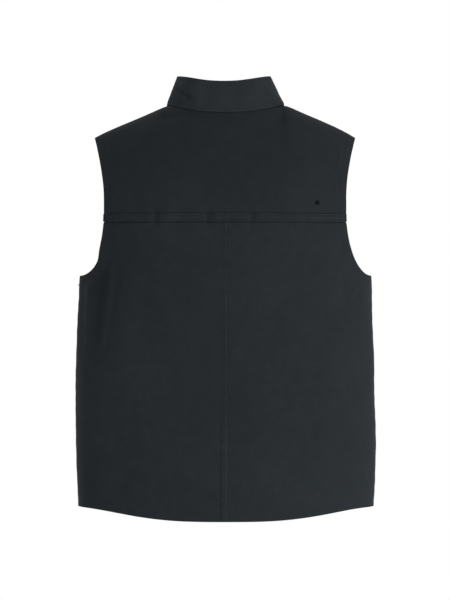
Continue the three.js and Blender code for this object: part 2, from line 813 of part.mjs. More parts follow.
function armholeFacing(hand, panels) {
  return cutClear(armholeFacingGeometry(hand, ...panels), panels);
}

// The vest

function finish(color, roughness, metalness = 0) {
  return new THREE.MeshStandardMaterial({ color, roughness, metalness });
}

const canvas = finish(0x282c2f, 0.92);
const canvasBand = finish(0x24282b, 0.94);
const zipBlack = finish(0x1a1c1e, 0.6);
const dotBlack = finish(0x121315, 0.7);

const backLeft = bodyPanel(BACK, -1);
const backRight = bodyPanel(BACK, 1);
const frontLeft = bodyPanel(FRONT, -1);
const frontRight = bodyPanel(FRONT, 1);
const yoke = yokePanel();
const collar = collarPanel(yoke, frontLeft, frontRight);

const vest = new THREE.Group();

function place(name, geometry, material) {
  const mesh = new THREE.Mesh(geometry, material);
  mesh.name = name;
  vest.add(mesh);
}

place('back_yoke', yoke.geometry, canvas);
place('yoke_fell', yokeFellGeometry(yoke), canvasBand);
place('back_panel_left', backLeft.geometry, canvas);
place('back_panel_right', backRight.geometry, canvas);
place('centre_back_fell', backFellGeometry(backLeft, backRight), canvasBand);
place('front_panel_left', frontLeft.geometry, canvas);
place('front_panel_right', frontRight.geometry, canvas);
place('collar', collar.geometry, canvas);
place('armhole_facing_left', armholeFacing(-1, [backLeft, yoke, frontLeft]), canvasBand);
place('armhole_facing_right', armholeFacing(1, [backRight, yoke, frontRight]), canvasBand);
place('hem_facing', hemFacingGeometry(frontLeft, backLeft, backRight, frontRight), canvasBand);
place('front_zip', joined([zipGeometry(frontLeft, frontRight, collar), ...sliderBlocks(collar)]), zipBlack);

const dot = dotMesh(dotBlack);
dot.name = 'plain_dot';
vest.add(dot);

export default vest;
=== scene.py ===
import math

import bpy
import numpy as np
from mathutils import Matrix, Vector


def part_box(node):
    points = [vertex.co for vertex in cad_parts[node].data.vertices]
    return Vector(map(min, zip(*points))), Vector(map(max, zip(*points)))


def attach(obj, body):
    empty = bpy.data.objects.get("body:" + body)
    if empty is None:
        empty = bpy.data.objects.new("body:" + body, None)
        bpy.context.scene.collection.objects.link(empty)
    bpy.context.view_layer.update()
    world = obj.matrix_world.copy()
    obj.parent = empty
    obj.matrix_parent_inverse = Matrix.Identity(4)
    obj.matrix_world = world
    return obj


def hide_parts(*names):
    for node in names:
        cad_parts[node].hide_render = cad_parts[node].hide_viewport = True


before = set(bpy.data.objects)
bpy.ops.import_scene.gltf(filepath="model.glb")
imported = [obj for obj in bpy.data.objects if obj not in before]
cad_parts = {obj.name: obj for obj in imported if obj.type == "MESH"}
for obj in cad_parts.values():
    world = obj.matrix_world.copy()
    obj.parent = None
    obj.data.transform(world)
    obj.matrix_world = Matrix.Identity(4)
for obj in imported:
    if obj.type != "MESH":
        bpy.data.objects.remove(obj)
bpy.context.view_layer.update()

MM = 0.001
BACK, FRONT = -1, 1
QUARTER = math.pi / 2


def node_box(node):
    """The lowest and highest corner of a node, in millimetres."""
    low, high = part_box(node)
    return np.array(low) / MM, np.array(high) / MM


# Sizes read from the frame, millimetres
YOKE_LOW, YOKE_HIGH = node_box("back_yoke")
BACK_LOW, BACK_HIGH = node_box("back_panel_right")
FRONT_LOW, _ = node_box("front_panel_right")
_, COLLAR_HIGH = node_box("collar")
DOT_LOW, DOT_HIGH = node_box("plain_dot")
BODY_LENGTH = -FRONT_LOW[2]
BODY_HALF_WIDTH = BACK_HIGH[0]
SHOULDER_HALF_WIDTH = YOKE_HIGH[0]
NECK_HALF_WIDTH = COLLAR_HIGH[0]
YOKE_SEAM = YOKE_LOW[2]
TAIL_DROP = FRONT_LOW[2] - BACK_LOW[2]

# Sizes of the cut and the cloth, millimetres
BACK_DEPTH = 116.0
FRONT_DEPTH = 120.0
BACK_ARCH_DROP = 205.0
FRONT_ARCH_DROP = 262.0
SHOULDER_DROP = 55.5
ARMHOLE_DEPTH = 239.0
BACK_SCOOP = 18.0
FRONT_SCOOP = 38.0
NECK_BACK_DROP = 15.5
NECK_FRONT_DROP = 78.0
COLLAR_HEIGHT = 49.6
COLLAR_TOP_HALF_WIDTH = 80.5
COLLAR_BACK_LEAN = 8.0
COLLAR_FRONT_LEAN = 5.0
COLLAR_THICKNESS = 3.0
CLOTH_THICKNESS = 1.5
SEAM_GAP = 0.02
ZIP_OPENING = 8.0
ARMHOLE_STRIP = 17.0
HEM_STRIP = 30.0
YOKE_BAND = 13.2
BACK_BAND = 10.0
BACK_SEAM_X = -1.7
TAIL_HALF_WIDTH = 250.0
RIGHT_SHOULDER_RISE = 1.8  # above a straight line, halfway out
LEFT_SHOULDER_DIP = 0.8
# The shoulder seam runs up a little beside the neck: on the right and the left, and how far out
RIGHT_FLARE, LEFT_FLARE, FLARE_REACH = 2.6, 0.8, 12.0
BAND_PROUD = 1.3
BACK_BAND_PROUD = 0.6
BAND_OVERLAP = 0.6  # the yoke's band reaches this far below its seam
UNDERARM = -(SHOULDER_DROP + ARMHOLE_DEPTH)

# Shape exponents, as in the frame's solids
BACK_ROUNDNESS = 0.43
FRONT_ROUNDNESS = 0.46
BACK_ARCH_POWER = 2.0
FRONT_ARCH_POWER = 1.7
NECK_BACK_POWER = 2.2
SCOOP_POWER = 1.9
SCOOP_ENDS = 0.46
UNDERARM_STARTS = 0.55
COLUMN_POWER = 2.5
SHOULDER_STRAIGHT = 0.93
SHOULDER_TIP_POWER = 6.0
TAIL_POWER = 1.67

# Sections: down as a share of the body length, then shares of half width, back depth, front
# depth and roundness
SECTION_COLUMNS = ("down", "width", "back", "front", "round")
SECTIONS = np.array([
    (0.00, 0.925, 0.96, 0.92, 1.00),
    (0.15, 0.920, 1.00, 0.97, 1.00),
    (0.27, 0.930, 1.00, 1.00, 1.08),
    (0.425, 0.975, 0.97, 1.00, 1.16),
    (0.52, 0.988, 0.94, 0.99, 1.10),
    (0.69, 1.000, 0.92, 0.97, 1.02),
    (0.85, 0.998, 0.93, 0.96, 1.00),
    (1.00, 0.988, 0.95, 0.96, 1.00),
])

# Drapes of the cloth. Each is a bell across a line from (x, z) to (x, z), in millimetres on
# the back (-1) or front (1), with its half width and its height, below 0 for a valley.
DRAPES = [
    # the valley under the left armhole and the roll beside it
    (BACK, -214, -256, -246, -312, 8, -5.0),
    (BACK, -246, -292, -249, -445, 7, -3.6),
    (BACK, -202, -256, -227, -440, 17, -13.0),
    (BACK, -158, -245, -186, -460, 24, 1.6),
    # the crease straight down from the left end of the yoke seam
    (BACK, -190.5, -172, -191.5, -268, 2.8, -1.5),
    # slack that runs from the underarms to the middle of the back
    (BACK, -150, -300, -78, -500, 24, -1.8),
    (BACK, -112, -330, -40, -560, 26, 1.6),
    (BACK, -175, -420, -110, -640, 26, 1.8),
    (BACK, -205, -470, -165, -690, 18, -1.6),
    (BACK, 200, -300, 216, -360, 12, -2.6),
    (BACK, 150, -260, 60, -420, 26, -1.2),
    (BACK, 190, -400, 150, -660, 28, 1.8),
    (BACK, 110, -380, 70, -640, 30, -1.5),
    # the yoke between the shoulder blades and below the collar
    (BACK, -118, -24, -70, -21, 8, -2.6),
    (BACK, -150, -46, -90, -60, 14, 1.2),
    (BACK, 90, -16, 99, -34, 8, -1.5),
    (BACK, 33, -75, 45, -118, 8, -1.0),
    (BACK, 150, -60, 90, -150, 24, 0.9),
    # the front, plain, with the same slack
    (FRONT, -170, -280, -150, -640, 28, -4.0),
    (FRONT, 170, -280, 150, -640, 28, -4.0),
    (FRONT, -90, -300, -110, -690, 24, 2.2),
    (FRONT, 90, -320, 112, -690, 24, 2.2),
]


# The form of the cloth

def table(column, z):
    """One column of SECTIONS at heights z, on a smooth cubic through the rows."""
    at = np.clip(-np.asarray(z, float) / BODY_LENGTH, 0, 1)
    places, values = SECTIONS[:, 0], SECTIONS[:, SECTION_COLUMNS.index(column)]
    slopes = np.gradient(values, places)
    slopes[1:-1] = (values[2:] - values[:-2]) / (places[2:] - places[:-2])
    i = np.clip(np.searchsorted(places, at) - 1, 0, len(places) - 2)
    span = places[i + 1] - places[i]
    t = (at - places[i]) / span
    return (
        (2 * t**3 - 3 * t**2 + 1) * values[i] + (t**3 - 2 * t**2 + t) * span * slopes[i]
        + (3 * t**2 - 2 * t**3) * values[i + 1] + (t**3 - t**2) * span * slopes[i + 1]
    )


def smooth(share):
    """A smooth step from 0 to 1 as the share goes from 0 to 1."""
    t = np.clip(share, 0, 1)
    return t * t * (3 - 2 * t)


def half_width(z):
    """Half width of the form at a height."""
    return BODY_HALF_WIDTH * table("width", z)


def depth(side, z):
    """Depth of the form at a height, from the side seams to the back or the front."""
    return BACK_DEPTH * table("back", z) if side == BACK else FRONT_DEPTH * table("front", z)


def roundness(side, z):
    """Half the power of the cosine in bare_point: 0.5 is an ellipse, and less is boxier."""
    return table("round", z) * (BACK_ROUNDNESS if side == BACK else FRONT_ROUNDNESS)


def shoulder_line(x):
    """Height of the shoulder line: nearly straight to the tip, and a low dome over the neck."""
    out = np.abs(x)
    slope = SHOULDER_STRAIGHT * SHOULDER_DROP / (SHOULDER_HALF_WIDTH - NECK_HALF_WIDTH)
    share = np.maximum(0, out - NECK_HALF_WIDTH) / (SHOULDER_HALF_WIDTH - NECK_HALF_WIDTH)
    arm = -SHOULDER_DROP * (
        SHOULDER_STRAIGHT * share + (1 - SHOULDER_STRAIGHT) * share**SHOULDER_TIP_POWER
    )
    bow = np.where(x > 0, RIGHT_SHOULDER_RISE, -LEFT_SHOULDER_DIP)
    beside = np.maximum(0, out - NECK_HALF_WIDTH) / FLARE_REACH
    flare = np.where(x > 0, RIGHT_FLARE, LEFT_FLARE) * beside * np.exp(1 - beside)
    arm = arm + bow * np.sin(np.pi * np.clip(share, 0, 1)) + flare * (share < 1)
    dome = slope * NECK_HALF_WIDTH / 2 * (1 - (out / NECK_HALF_WIDTH) ** 2)
    return np.where(out < NECK_HALF_WIDTH, dome, arm)


def neckline(side, x):
    """Height of the neckline: a shallow curve at the back and an ellipse at the front."""
    out = np.clip(np.abs(x) / NECK_HALF_WIDTH, 0, 1)
    if side == BACK:
        return -NECK_BACK_DROP * (1 - out**NECK_BACK_POWER)
    return -NECK_FRONT_DROP * np.sqrt(1 - out**2)


def arch_terms(side, x, z):
    """How far a height is up the arch from where it starts, 0 to 1, and the arch's power."""
    start = -(BACK_ARCH_DROP if side == BACK else FRONT_ARCH_DROP)
    power = BACK_ARCH_POWER if side == BACK else FRONT_ARCH_POWER
    return np.maximum(0, (z - start) / (shoulder_line(x) - start)), power


def armhole_edge(side, z):
    """Half width between the armhole edges: in from the tips, then an arc out to the side."""
    share = np.clip((-SHOULDER_DROP - z) / ARMHOLE_DEPTH, 0, 1)
    scoop = BACK_SCOOP if side == BACK else FRONT_SCOOP
    inward = 1 - (1 - np.minimum(1, share / SCOOP_ENDS)) ** SCOOP_POWER
    turn = np.clip((share - UNDERARM_STARTS) / (1 - UNDERARM_STARTS), 0, 1)
    reach = half_width(UNDERARM) - SHOULDER_HALF_WIDTH + scoop
    return SHOULDER_HALF_WIDTH - scoop * inward + reach * (1 - np.sqrt(1 - turn**2))


def column_angle(side, u, z):
    """Angle of a column at a height: u quarter turns, drawn in above the underarm."""
    edge = np.arcsin(np.minimum(1, armhole_edge(side, z) / half_width(z)))
    edge = np.where(z <= UNDERARM, QUARTER, edge)
    return u * QUARTER - (QUARTER - edge) * u**COLUMN_POWER


def bare_point(side, angle, z):
    """A point of the bare form: x is the half width times the sine of the angle, and y the
    depth times the arch times the cosine to twice the roundness."""
    x = half_width(z) * np.sin(angle)
    rise, power = arch_terms(side, x, z)
    arch = (1 - np.minimum(1, rise) ** power) ** (1 / power)
    cosine = np.maximum(0, np.cos(angle))
    y = depth(side, z) * arch * cosine ** (2 * roundness(side, z))
    return np.stack([x, side * (y + SEAM_GAP), z + 0 * x], axis=-1)


def form_value(side, points):
    """Below 0 inside the bare form and above 0 outside it."""
    x, y, z = points[..., 0], points[..., 1], points[..., 2]
    rise, power = arch_terms(side, x, z)
    across = np.maximum(0, 1 - (x / half_width(z)) ** 2) ** (roundness(side, z) * power)
    deep = np.maximum(0, side * y - SEAM_GAP)
    return (deep / depth(side, z)) ** power - (1 - rise**power) * across


SLOPE_STEP = 0.25  # mm to each side
SEAM_TURN = 1.5  # mm from the side seams, over which the normals turn into the seams' plane
NEWTON_STEPS = 8
LONGEST_STEP = 4.0


def form_slope(side, points):
    """The slope of form_value, by central differences."""
    slope = np.zeros_like(points)
    for axis in range(3):
        move = np.zeros(3)
        move[axis] = SLOPE_STEP
        slope[..., axis] = form_value(side, points + move) - form_value(side, points - move)
    return slope / (2 * SLOPE_STEP)


def unit(vectors):
    """The vectors at length 1."""
    return vectors / np.maximum(1e-9, np.linalg.norm(vectors, axis=-1, keepdims=True))


def form_normal(side, points):
    """Outward normal of the bare form; at the seams in the plane y = 0 it lies in that plane."""
    normal = unit(form_slope(side, points))
    normal[..., 1] *= np.clip((side * points[..., 1] - SEAM_GAP) / SEAM_TURN, 0, 1)
    return unit(normal)


def bring_to_form(side, points):
    """Points moved along the slope until they lie on the bare form (a few Newton steps)."""
    moved = points.copy()
    for _ in range(NEWTON_STEPS):
        slope = form_slope(side, moved)
        size = np.maximum(1e-12, (slope**2).sum(axis=-1, keepdims=True))
        step = form_value(side, moved)[..., None] * slope / size
        length = np.maximum(1e-9, np.linalg.norm(step, axis=-1, keepdims=True))
        moved = moved - step * np.minimum(1, LONGEST_STEP / length)
    return moved


# Relief of the cloth

RNG = np.random.default_rng(5)
WAVES = []
for size, height, count in ((170.0, 0.9, 10), (75.0, 0.38, 14), (30.0, 0.11, 16)):
    direction = unit(RNG.normal(size=(count, 3)) * (1.0, 1.0, 0.55))
    WAVES.append((direction * (2 * math.pi / size), RNG.uniform(0, 2 * math.pi, count),
                  height * (2 / count) ** 0.5))

# How a fold's ends fade: over which share of its length, and how far the fade has come there
DRAPE_ENDS = (0.4, 0.25)
CREASE_ENDS = (0.3, 0.3)
# Puckers on the yoke seam, where the cloth is drawn in: x, half width and depth, millimetres
YOKE_PUCKERS = [
    (-190, 5, 1.0), (-118, 6, 3.6), (-80, 6, 0.8), (-30, 5, 4.0),
    (8, 4, 1.8), (45, 5.5, 3.0), (110, 6, 1.0), (205, 5, 1.2),
]
PUCKER_REACH = 13.0  # up and down the cloth
# Stretches of the yoke seam where its stitches are in a paler thread, as painted highlight, from x to
# x
HIGHLIGHT_STRETCHES = [(-180, -140), (-97, -43), (-15, 35), (60, 87), (128, 205)]
# Each seam's ditch and the short waves beside it: depth or height, and half width
SIDE_DITCH, SIDE_WAVE = (0.9, 2.2), (0.2, 12.0)
YOKE_DITCH, YOKE_WAVE = (1.5, 1.4), (0.16, 14.0)
YOKE_DITCH_BELOW = 1.6
YOKE_WAVE_ABOVE = 5.0
MIDDLE_WAVE = (0.13, 13.0)
TOP_FADE = 25.0  # the relief fades out over this much below the shoulder line
SIDE_FADE = 22.0  # and the drapes over this much towards the side seams


def bell(distance, half):
    """A bell over a distance: 1 at its middle and 0.37 at its half width."""
    return np.exp(-((distance / half) ** 2))


def slack(points):
    """Uneven cloth: a sum of waves of three sizes, each in its own direction."""
    total = np.zeros(points.shape[:-1])
    for directions, phases, height in WAVES:
        total += height * np.sin(points @ directions.T + phases).sum(axis=-1)
    return total


def fold(x, z, line, fade, early):
    """One fold: a bell across a line from (x, z) to (x, z) that fades at the line's ends."""
    x0, z0, x1, z1, half, height = line
    way = np.array([x1 - x0, z1 - z0], float)
    length = np.hypot(*way)
    way /= length
    along = ((x - x0) * way[0] + (z - z0) * way[1]) / length
    off = (x - x0) * way[1] - (z - z0) * way[0]
    ends = smooth(along / fade + early) * smooth((1 - along) / fade + early)
    return height * bell(off, half) * ends


def drape_height(side, points):
    """The height of one side's drapes, added up."""
    x, z = points[..., 0], points[..., 2]
    return sum((fold(x, z, line, *DRAPE_ENDS) for on, *line in DRAPES if on == side), 0 * x)


def uneven_wave(at, length, sway, slow):
    """A sine whose phase sways with a slower sine, so that no two waves are alike."""
    return np.sin(at / length + sway * np.sin(at / slow))


def seam_relief(side, points):
    """The ditches of the seams, and short waves along each seam that die away from it."""
    x, y, z = points[..., 0], points[..., 1], points[..., 2]
    total = SIDE_WAVE[0] * uneven_wave(z, 4.3, 2, 27) * bell(y, SIDE_WAVE[1])
    total -= SIDE_DITCH[0] * bell(y, SIDE_DITCH[1])
    total *= smooth((UNDERARM + 4 - z) / 10)
    if side == FRONT:
        return total
    from_yoke = z - YOKE_SEAM - YOKE_WAVE_ABOVE
    ripple = uneven_wave(x, 5.3, 2, 23) + 0.6 * uneven_wave(x, 3.1, 1.3, 17)
    total += YOKE_WAVE[0] * ripple * bell(from_yoke, YOKE_WAVE[1])
    ditch = YOKE_DITCH[0] * bell(z - YOKE_SEAM + YOKE_DITCH_BELOW, YOKE_DITCH[1])
    total -= ditch * (z < YOKE_SEAM)
    for place, half, deep in YOKE_PUCKERS:
        total -= deep * bell(x - place, half) * bell(from_yoke, PUCKER_REACH)
    ripple = uneven_wave(z, 4.7, 2, 31) + 0.6 * uneven_wave(z, 2.9, 1.7, 19)
    by_middle = bell(x - BACK_SEAM_X, MIDDLE_WAVE[1]) * smooth((YOKE_SEAM - z) / 12)
    return total + MIDDLE_WAVE[0] * ripple * by_middle


# Seams and stitch lines, worked out on the bare form

ARMHOLE_IN = 16.6  # the armhole's stitch line lies this far in from the edge
HEM_TOP = -BODY_LENGTH + 31.0  # the hem's stitch line is level
FRONT_EDGE_LINE = 7.0
STEP = 3.0  # mm between the points of a line
OFFSET_STEPS = 6


def path_frame(path):
    """Unit vectors along a path."""
    return unit(np.gradient(path, axis=0))


def armhole_edges(hand):
    """The armhole's edges on the bare form, the back's and the front's, each from the underarm
    up to the shoulder's tip, with its points closer together at both ends."""
    turn = np.linspace(0, 1, 130)
    rise = np.where(turn < 0.5, 2 * turn**2, 1 - 2 * (1 - turn) ** 2)
    z = UNDERARM + rise * ARMHOLE_DEPTH
    return [bare_point(side, hand * column_angle(side, 1.0, z), z) for side in (BACK, FRONT)]


def offset_in(side, edge, width):
    """Points on the bare form so far in from an armhole edge, square to it."""
    inward = unit(np.cross(path_frame(edge), form_normal(side, edge)))
    hole = np.array([np.sign(edge[0, 0]) * BODY_HALF_WIDTH, 0, -SHOULDER_DROP - ARMHOLE_DEPTH / 2])
    inward *= np.sign((inward * (edge - hole)).sum())
    moved = edge
    for _ in range(OFFSET_STEPS):
        moved = bring_to_form(side, moved + inward * (width / OFFSET_STEPS))
    return moved


def armhole_line(side, hand):
    """The armhole's stitch line on one side, up to the shoulder line."""
    line = offset_in(side, armhole_edges(hand)[0 if side == BACK else 1], ARMHOLE_IN)
    return line[line[:, 2] < shoulder_line(line[:, 0]) - 0.5]


def hem_line(side, hand):
    """The level stitch line of the hem, from the middle to the side seam."""
    shares = np.linspace(0.03, 1.0, 120)
    z = np.full(shares.shape, HEM_TOP)
    return bare_point(side, hand * column_angle(side, shares, z), z)


def upright_line(side, x, low, high):
    """A line straight up the form at one place across, between two heights."""
    z = np.linspace(low, high, max(3, int(abs(high - low) / STEP)))
    return bare_point(side, np.arcsin(x / half_width(z)), z)


def hem_height(side, shares):
    """Height of the hem: level at the front, and at the back a tail that dips in the middle and
    levels out at the side seams."""
    if side == FRONT:
        return np.full(np.shape(shares), -BODY_LENGTH)
    out = half_width(-BODY_LENGTH) * np.sin(shares * QUARTER) / TAIL_HALF_WIDTH
    return -BODY_LENGTH - TAIL_DROP * (1 - smooth(out**TAIL_POWER))


# Grooves that the stitches draw in, millimetres: depths, half widths, and the ridge beside each
ARMHOLE_GROOVES = {-1: 0.75, 1: 0.4}
ARMHOLE_GROOVE_HALF = 2.0
HEM_GROOVE = 0.22
EDGE_GROOVE = 0.5
GROOVE_HALF = 1.8
GROOVE_REACH = 8.0
RIDGE_AWAY, RIDGE_HALF = 5.0, 3.5
HEM_MARKS_X = (-73, 76)  # two short upright rows of stitches above the hem

# Each line: side, points, groove depth and half width
LINES = []
for hand in (-1, 1):
    for side in (BACK, FRONT):
        LINES.append((side, armhole_line(side, hand), ARMHOLE_GROOVES[hand], ARMHOLE_GROOVE_HALF))
        LINES.append((side, hem_line(side, hand), HEM_GROOVE, GROOVE_HALF))
    edge_x = hand * (ZIP_OPENING / 2 + FRONT_EDGE_LINE)
    edge = upright_line(FRONT, edge_x, -BODY_LENGTH + 4, -NECK_FRONT_DROP - 4)
    LINES.append((FRONT, edge, EDGE_GROOVE, GROOVE_HALF))
for x in HEM_MARKS_X:
    mark = upright_line(BACK, x, -BODY_LENGTH - 5, HEM_TOP)
    LINES.append((BACK, mark, EDGE_GROOVE, GROOVE_HALF))


def line_grooves(side, points):
    """Grooves where the stitches draw the cloth in: a bell of the distance to each line, with
    a low ridge beside it."""
    flat_points = points.reshape(-1, 3)
    total = np.zeros(len(flat_points))
    for on, line, deep, half in LINES:
        if on != side:
            continue
        low, high = line.min(axis=0) - GROOVE_REACH, line.max(axis=0) + GROOVE_REACH
        near = np.flatnonzero(((flat_points > low) & (flat_points < high)).all(axis=1))
        if not len(near):
            continue
        gap = flat_points[near][:, None, :] - line[None, :, :]
        distance = np.sqrt((gap**2).sum(axis=-1).min(axis=1))
        x, z = flat_points[near, 0], flat_points[near, 2]
        ripple = 1 + 0.35 * np.sin(z / 4.1) * np.sin(x / 5.7)
        ridge = 0.5 * bell(distance - RIDGE_AWAY, RIDGE_HALF)
        total[near] += deep * ripple * (ridge - bell(distance, half))
    return total.reshape(points.shape[:-1])


def relief(side, points):
    """All the relief together, fading out at the shoulder line and the neckline."""
    x, z = points[..., 0], points[..., 2]
    top = np.where(np.abs(x) < NECK_HALF_WIDTH, neckline(side, x), shoulder_line(x))
    loose = slack(points) + seam_relief(side, points) + line_grooves(side, points)
    loose += drape_height(side, points) * smooth(np.abs(points[..., 1]) / SIDE_FADE)
    return loose * smooth((top - z) / TOP_FADE)


def on_cloth(side, bare):
    """Points of the bare form carried out to the cloth's outer face, and their normals."""
    normal = form_normal(side, bare)
    return bare + normal * relief(side, bare)[..., None], normal


def cloth(side, angle, z):
    """Points of the cloth's outer face at angles and heights, and their normals."""
    return on_cloth(side, bare_point(side, angle, z))


def cloth_at(side, x, z):
    """The same, for places across given in millimetres."""
    return cloth(side, np.arcsin(np.clip(x / half_width(z), -1, 1)), z)


def across_back(shares, z):
    """The same across the whole back, for shares below 0 at the left."""
    return cloth(BACK, np.sign(shares) * column_angle(BACK, np.abs(shares), z), z)


# Meshes

def grid_faces(rows, columns, close_columns=False, close_rows=False):
    """Quads of a grid of points, closed round in either direction if asked."""
    j = np.arange(rows if close_rows else rows - 1)[:, None]
    i = np.arange(columns if close_columns else columns - 1)[None, :]
    a = j * columns + i
    b = j * columns + (i + 1) % columns
    c = ((j + 1) % rows) * columns + (i + 1) % columns
    d = ((j + 1) % rows) * columns + i
    return np.stack([a, b, c, d], axis=-1).reshape(-1, 4)


def arc_length(path):
    """Length along a path, from 0 at its first point."""
    return np.concatenate([[0], np.cumsum(np.linalg.norm(np.diff(path, axis=0), axis=-1))])


def arc_uv(points):
    """Lengths along the rows and up the columns of a grid, in metres, for the weave."""
    across = np.zeros(points.shape[:2])
    across[:, 1:] = np.cumsum(np.linalg.norm(np.diff(points, axis=1), axis=-1), axis=1)
    upward = np.zeros(points.shape[:2])
    upward[1:] = np.cumsum(np.linalg.norm(np.diff(points, axis=0), axis=-1), axis=0)
    return np.stack([across, upward], axis=-1).reshape(-1, 2) * MM


def turned_out(points, faces, outward):
    """Faces that look along the outward vectors, and whether they were turned over for it."""
    a, b, c = (points[faces[:, k]] for k in range(3))
    turned = (np.cross(b - a, c - a) * outward[faces[:, 0]]).sum() <= 0
    return (faces[:, ::-1] if turned else faces), turned


def end_caps(start, size, count, turned):
    """The end faces of a loft whose rings of one size are numbered on from a start."""
    first, last = range(start, start + size), range(start + count - size, start + count)
    return [first, last[::-1]] if turned else [first[::-1], last]


def sharpen_rim(mesh, faces):
    """Marks the edges that only one quad has as sharp, so that the cloth's cut edge is crisp."""
    edges = np.zeros(len(mesh.edges) * 2, dtype=np.int32)
    mesh.edges.foreach_get("vertices", edges)
    edges = np.sort(edges.reshape(-1, 2), axis=1).astype(np.int64)
    sides = np.sort(np.concatenate([faces[:, [k, (k + 1) % 4]] for k in range(4)]), axis=1)
    size = len(mesh.vertices)
    keys, uses = np.unique(sides[:, 0].astype(np.int64) * size + sides[:, 1], return_counts=True)
    sharp = mesh.attributes.new("sharp_edge", "BOOLEAN", "EDGE")
    sharp.data.foreach_set("value", np.isin(edges[:, 0] * size + edges[:, 1], keys[uses == 1]))


def add_object(name, data):
    """An object of some data, linked into the scene."""
    thing = bpy.data.objects.new(name, data)
    bpy.context.scene.collection.objects.link(thing)
    return thing


def make_piece(name, points, faces, material, nodes, uv=None, caps=(), rim_sharp=False):
    """A mesh object in metres from points in millimetres, riding on the vest's one body."""
    mesh = bpy.data.meshes.new(name)
    mesh.from_pydata((points * MM).tolist(), [], faces.tolist() + [list(cap) for cap in caps])
    if uv is not None:
        layer = mesh.uv_layers.new(name="cloth")
        index = np.zeros(len(mesh.loops), dtype=np.int32)
        mesh.loops.foreach_get("vertex_index", index)
        layer.data.foreach_set("uv", uv[index].astype(np.float32).ravel())
    mesh.polygons.foreach_set("use_smooth", np.ones(len(mesh.polygons), dtype=bool))
    if rim_sharp:
        sharpen_rim(mesh, faces)
    mesh.materials.append(material)
    mesh.validate()
    piece = add_object(name, mesh)
    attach(piece, "root")
    if nodes:
        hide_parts(*nodes)
    return piece


def sheet_piece(name, side, points, node, flat, area):
    """A sheet of cloth on a grid of its outer face, given its thickness inwards."""
    flat_points = points.reshape(-1, 3)
    outward = form_normal(side, flat_points)
    faces, _ = turned_out(flat_points, grid_faces(*points.shape[:2]), outward)
    piece = make_piece(name, flat_points, faces, CANVAS, [node],
                       uv=arc_uv(points), rim_sharp=True)
    wall = piece.modifiers.new("thickness", "SOLIDIFY")
    wall.thickness = CLOTH_THICKNESS * MM
    wall.offset = -1
    wall.use_even_offset = False


def solid_piece(name, rings, material, nodes, closed=False):
    """A solid through rings of points, with the lengths along and round it for the weave.
    closed joins the last ring to the first, and otherwise both ends are capped."""
    count, size = rings.shape[:2]
    points = rings.reshape(-1, 3)
    outward = points - np.repeat(rings.mean(axis=1), size, axis=0)
    faces, turned = turned_out(points, grid_faces(count, size, True, closed), outward)
    caps = [] if closed else end_caps(0, size, count * size, turned)
    lengths = np.meshgrid(arc_length(rings[0]), arc_length(rings[:, 0]))
    uv = np.stack(lengths, axis=-1).reshape(-1, 2) * MM
    return make_piece(name, points, faces, material, nodes, uv=uv, caps=caps)


def lofts_piece(name, groups, material):
    """One mesh of many lofted solids with closed ends. Each group is (count, rings, size, 3)."""
    points, faces, caps, start = [], [], [], 0
    for group in groups:
        count, rings, size = group.shape[:3]
        per = rings * size
        flat_points = group.reshape(-1, 3)
        offsets = np.arange(count) * per
        body = (grid_faces(rings, size, True)[None] + offsets[:, None, None]).reshape(-1, 4)
        centre = np.repeat(group.reshape(count, per, 3).mean(axis=1), per, axis=0)
        body, turned = turned_out(flat_points, body, flat_points - centre)
        for offset in (offsets + start).tolist():
            caps += end_caps(offset, size, per, turned)
        points.append(flat_points)
        faces.append(body + start)
        start += count * per
    make_piece(name, np.concatenate(points), np.concatenate(faces), material, [], caps=caps)


def loft(centre, along, side, out, outline, stations):
    """Rings for lofted solids: an outline at each station, scaled, along an axis."""
    places, scales = np.array(stations, float).T[:, :, None, None]
    centre, along, side, out = (v[..., None, None, :] for v in (centre, along, side, out))
    return centre + along * places + (side * outline[:, :1] + out * outline[:, 1:]) * scales


def even_steps(path, normal, spacing):
    """A path and its normals at even steps of about the spacing, by arc length."""
    along = arc_length(path)
    at = np.linspace(0, along[-1], max(2, int(round(along[-1] / spacing))) + 1)
    path, normal = (
        np.stack([np.interp(at, along, values[:, k]) for k in range(3)], axis=-1)
        for values in (path, normal)
    )
    return path, unit(normal)


STITCH_LENGTH = 3.3  # each stitch shows this long
STITCH_PITCH = 4.1
STITCH_LIFT = 0.12
STITCH_DIP = 0.55  # how far its ends go down into the cloth
THREAD_HALF = 0.42
STITCH_SIDES = 6
# Rings of a stitch: place as a share of its length, and share of its width
STITCH_RINGS = np.array([(-0.5, 0.35), (-0.28, 0.95), (0.0, 1.0), (0.28, 0.95), (0.5, 0.35)])


def stitch_rings(path, normal):
    """Small threads end to end along a path: a six-sided bead that is pinched at both ends,
    where it goes through the cloth, and lies a little into it."""
    middles, out = even_steps(path, normal, STITCH_PITCH)
    along = path_frame(middles)
    side = unit(np.cross(along, out))
    middles, along, side, out = (v[:, None, None] for v in (middles, along, side, out))
    turn = np.arange(STITCH_SIDES)[:, None] * 2 * math.pi / STITCH_SIDES
    places, widths = STITCH_RINGS.T[:, :, None, None]
    thread = THREAD_HALF * widths
    rise = STITCH_LIFT - STITCH_DIP * np.abs(2 * places) ** 3
    return (
        middles + along * places * STITCH_LENGTH
        + side * (np.cos(turn) * thread) + out * (np.sin(turn) * thread + rise)
    )


def stitches(name, rows, material):
    """Rows of stitches as one joined mesh. Each row is a path and its normals."""
    threads = np.concatenate([stitch_rings(path, normal) for path, normal in rows])
    lofts_piece(name, [threads], material)


# Materials

def linear(hex_colour):
    """An sRGB hex colour as linear red, green, blue and full alpha."""
    parts = [int(hex_colour[k:k + 2], 16) / 255 for k in (1, 3, 5)]
    return [c / 12.92 if c <= 0.04045 else ((c + 0.055) / 1.055) ** 2.4 for c in parts] + [1.0]


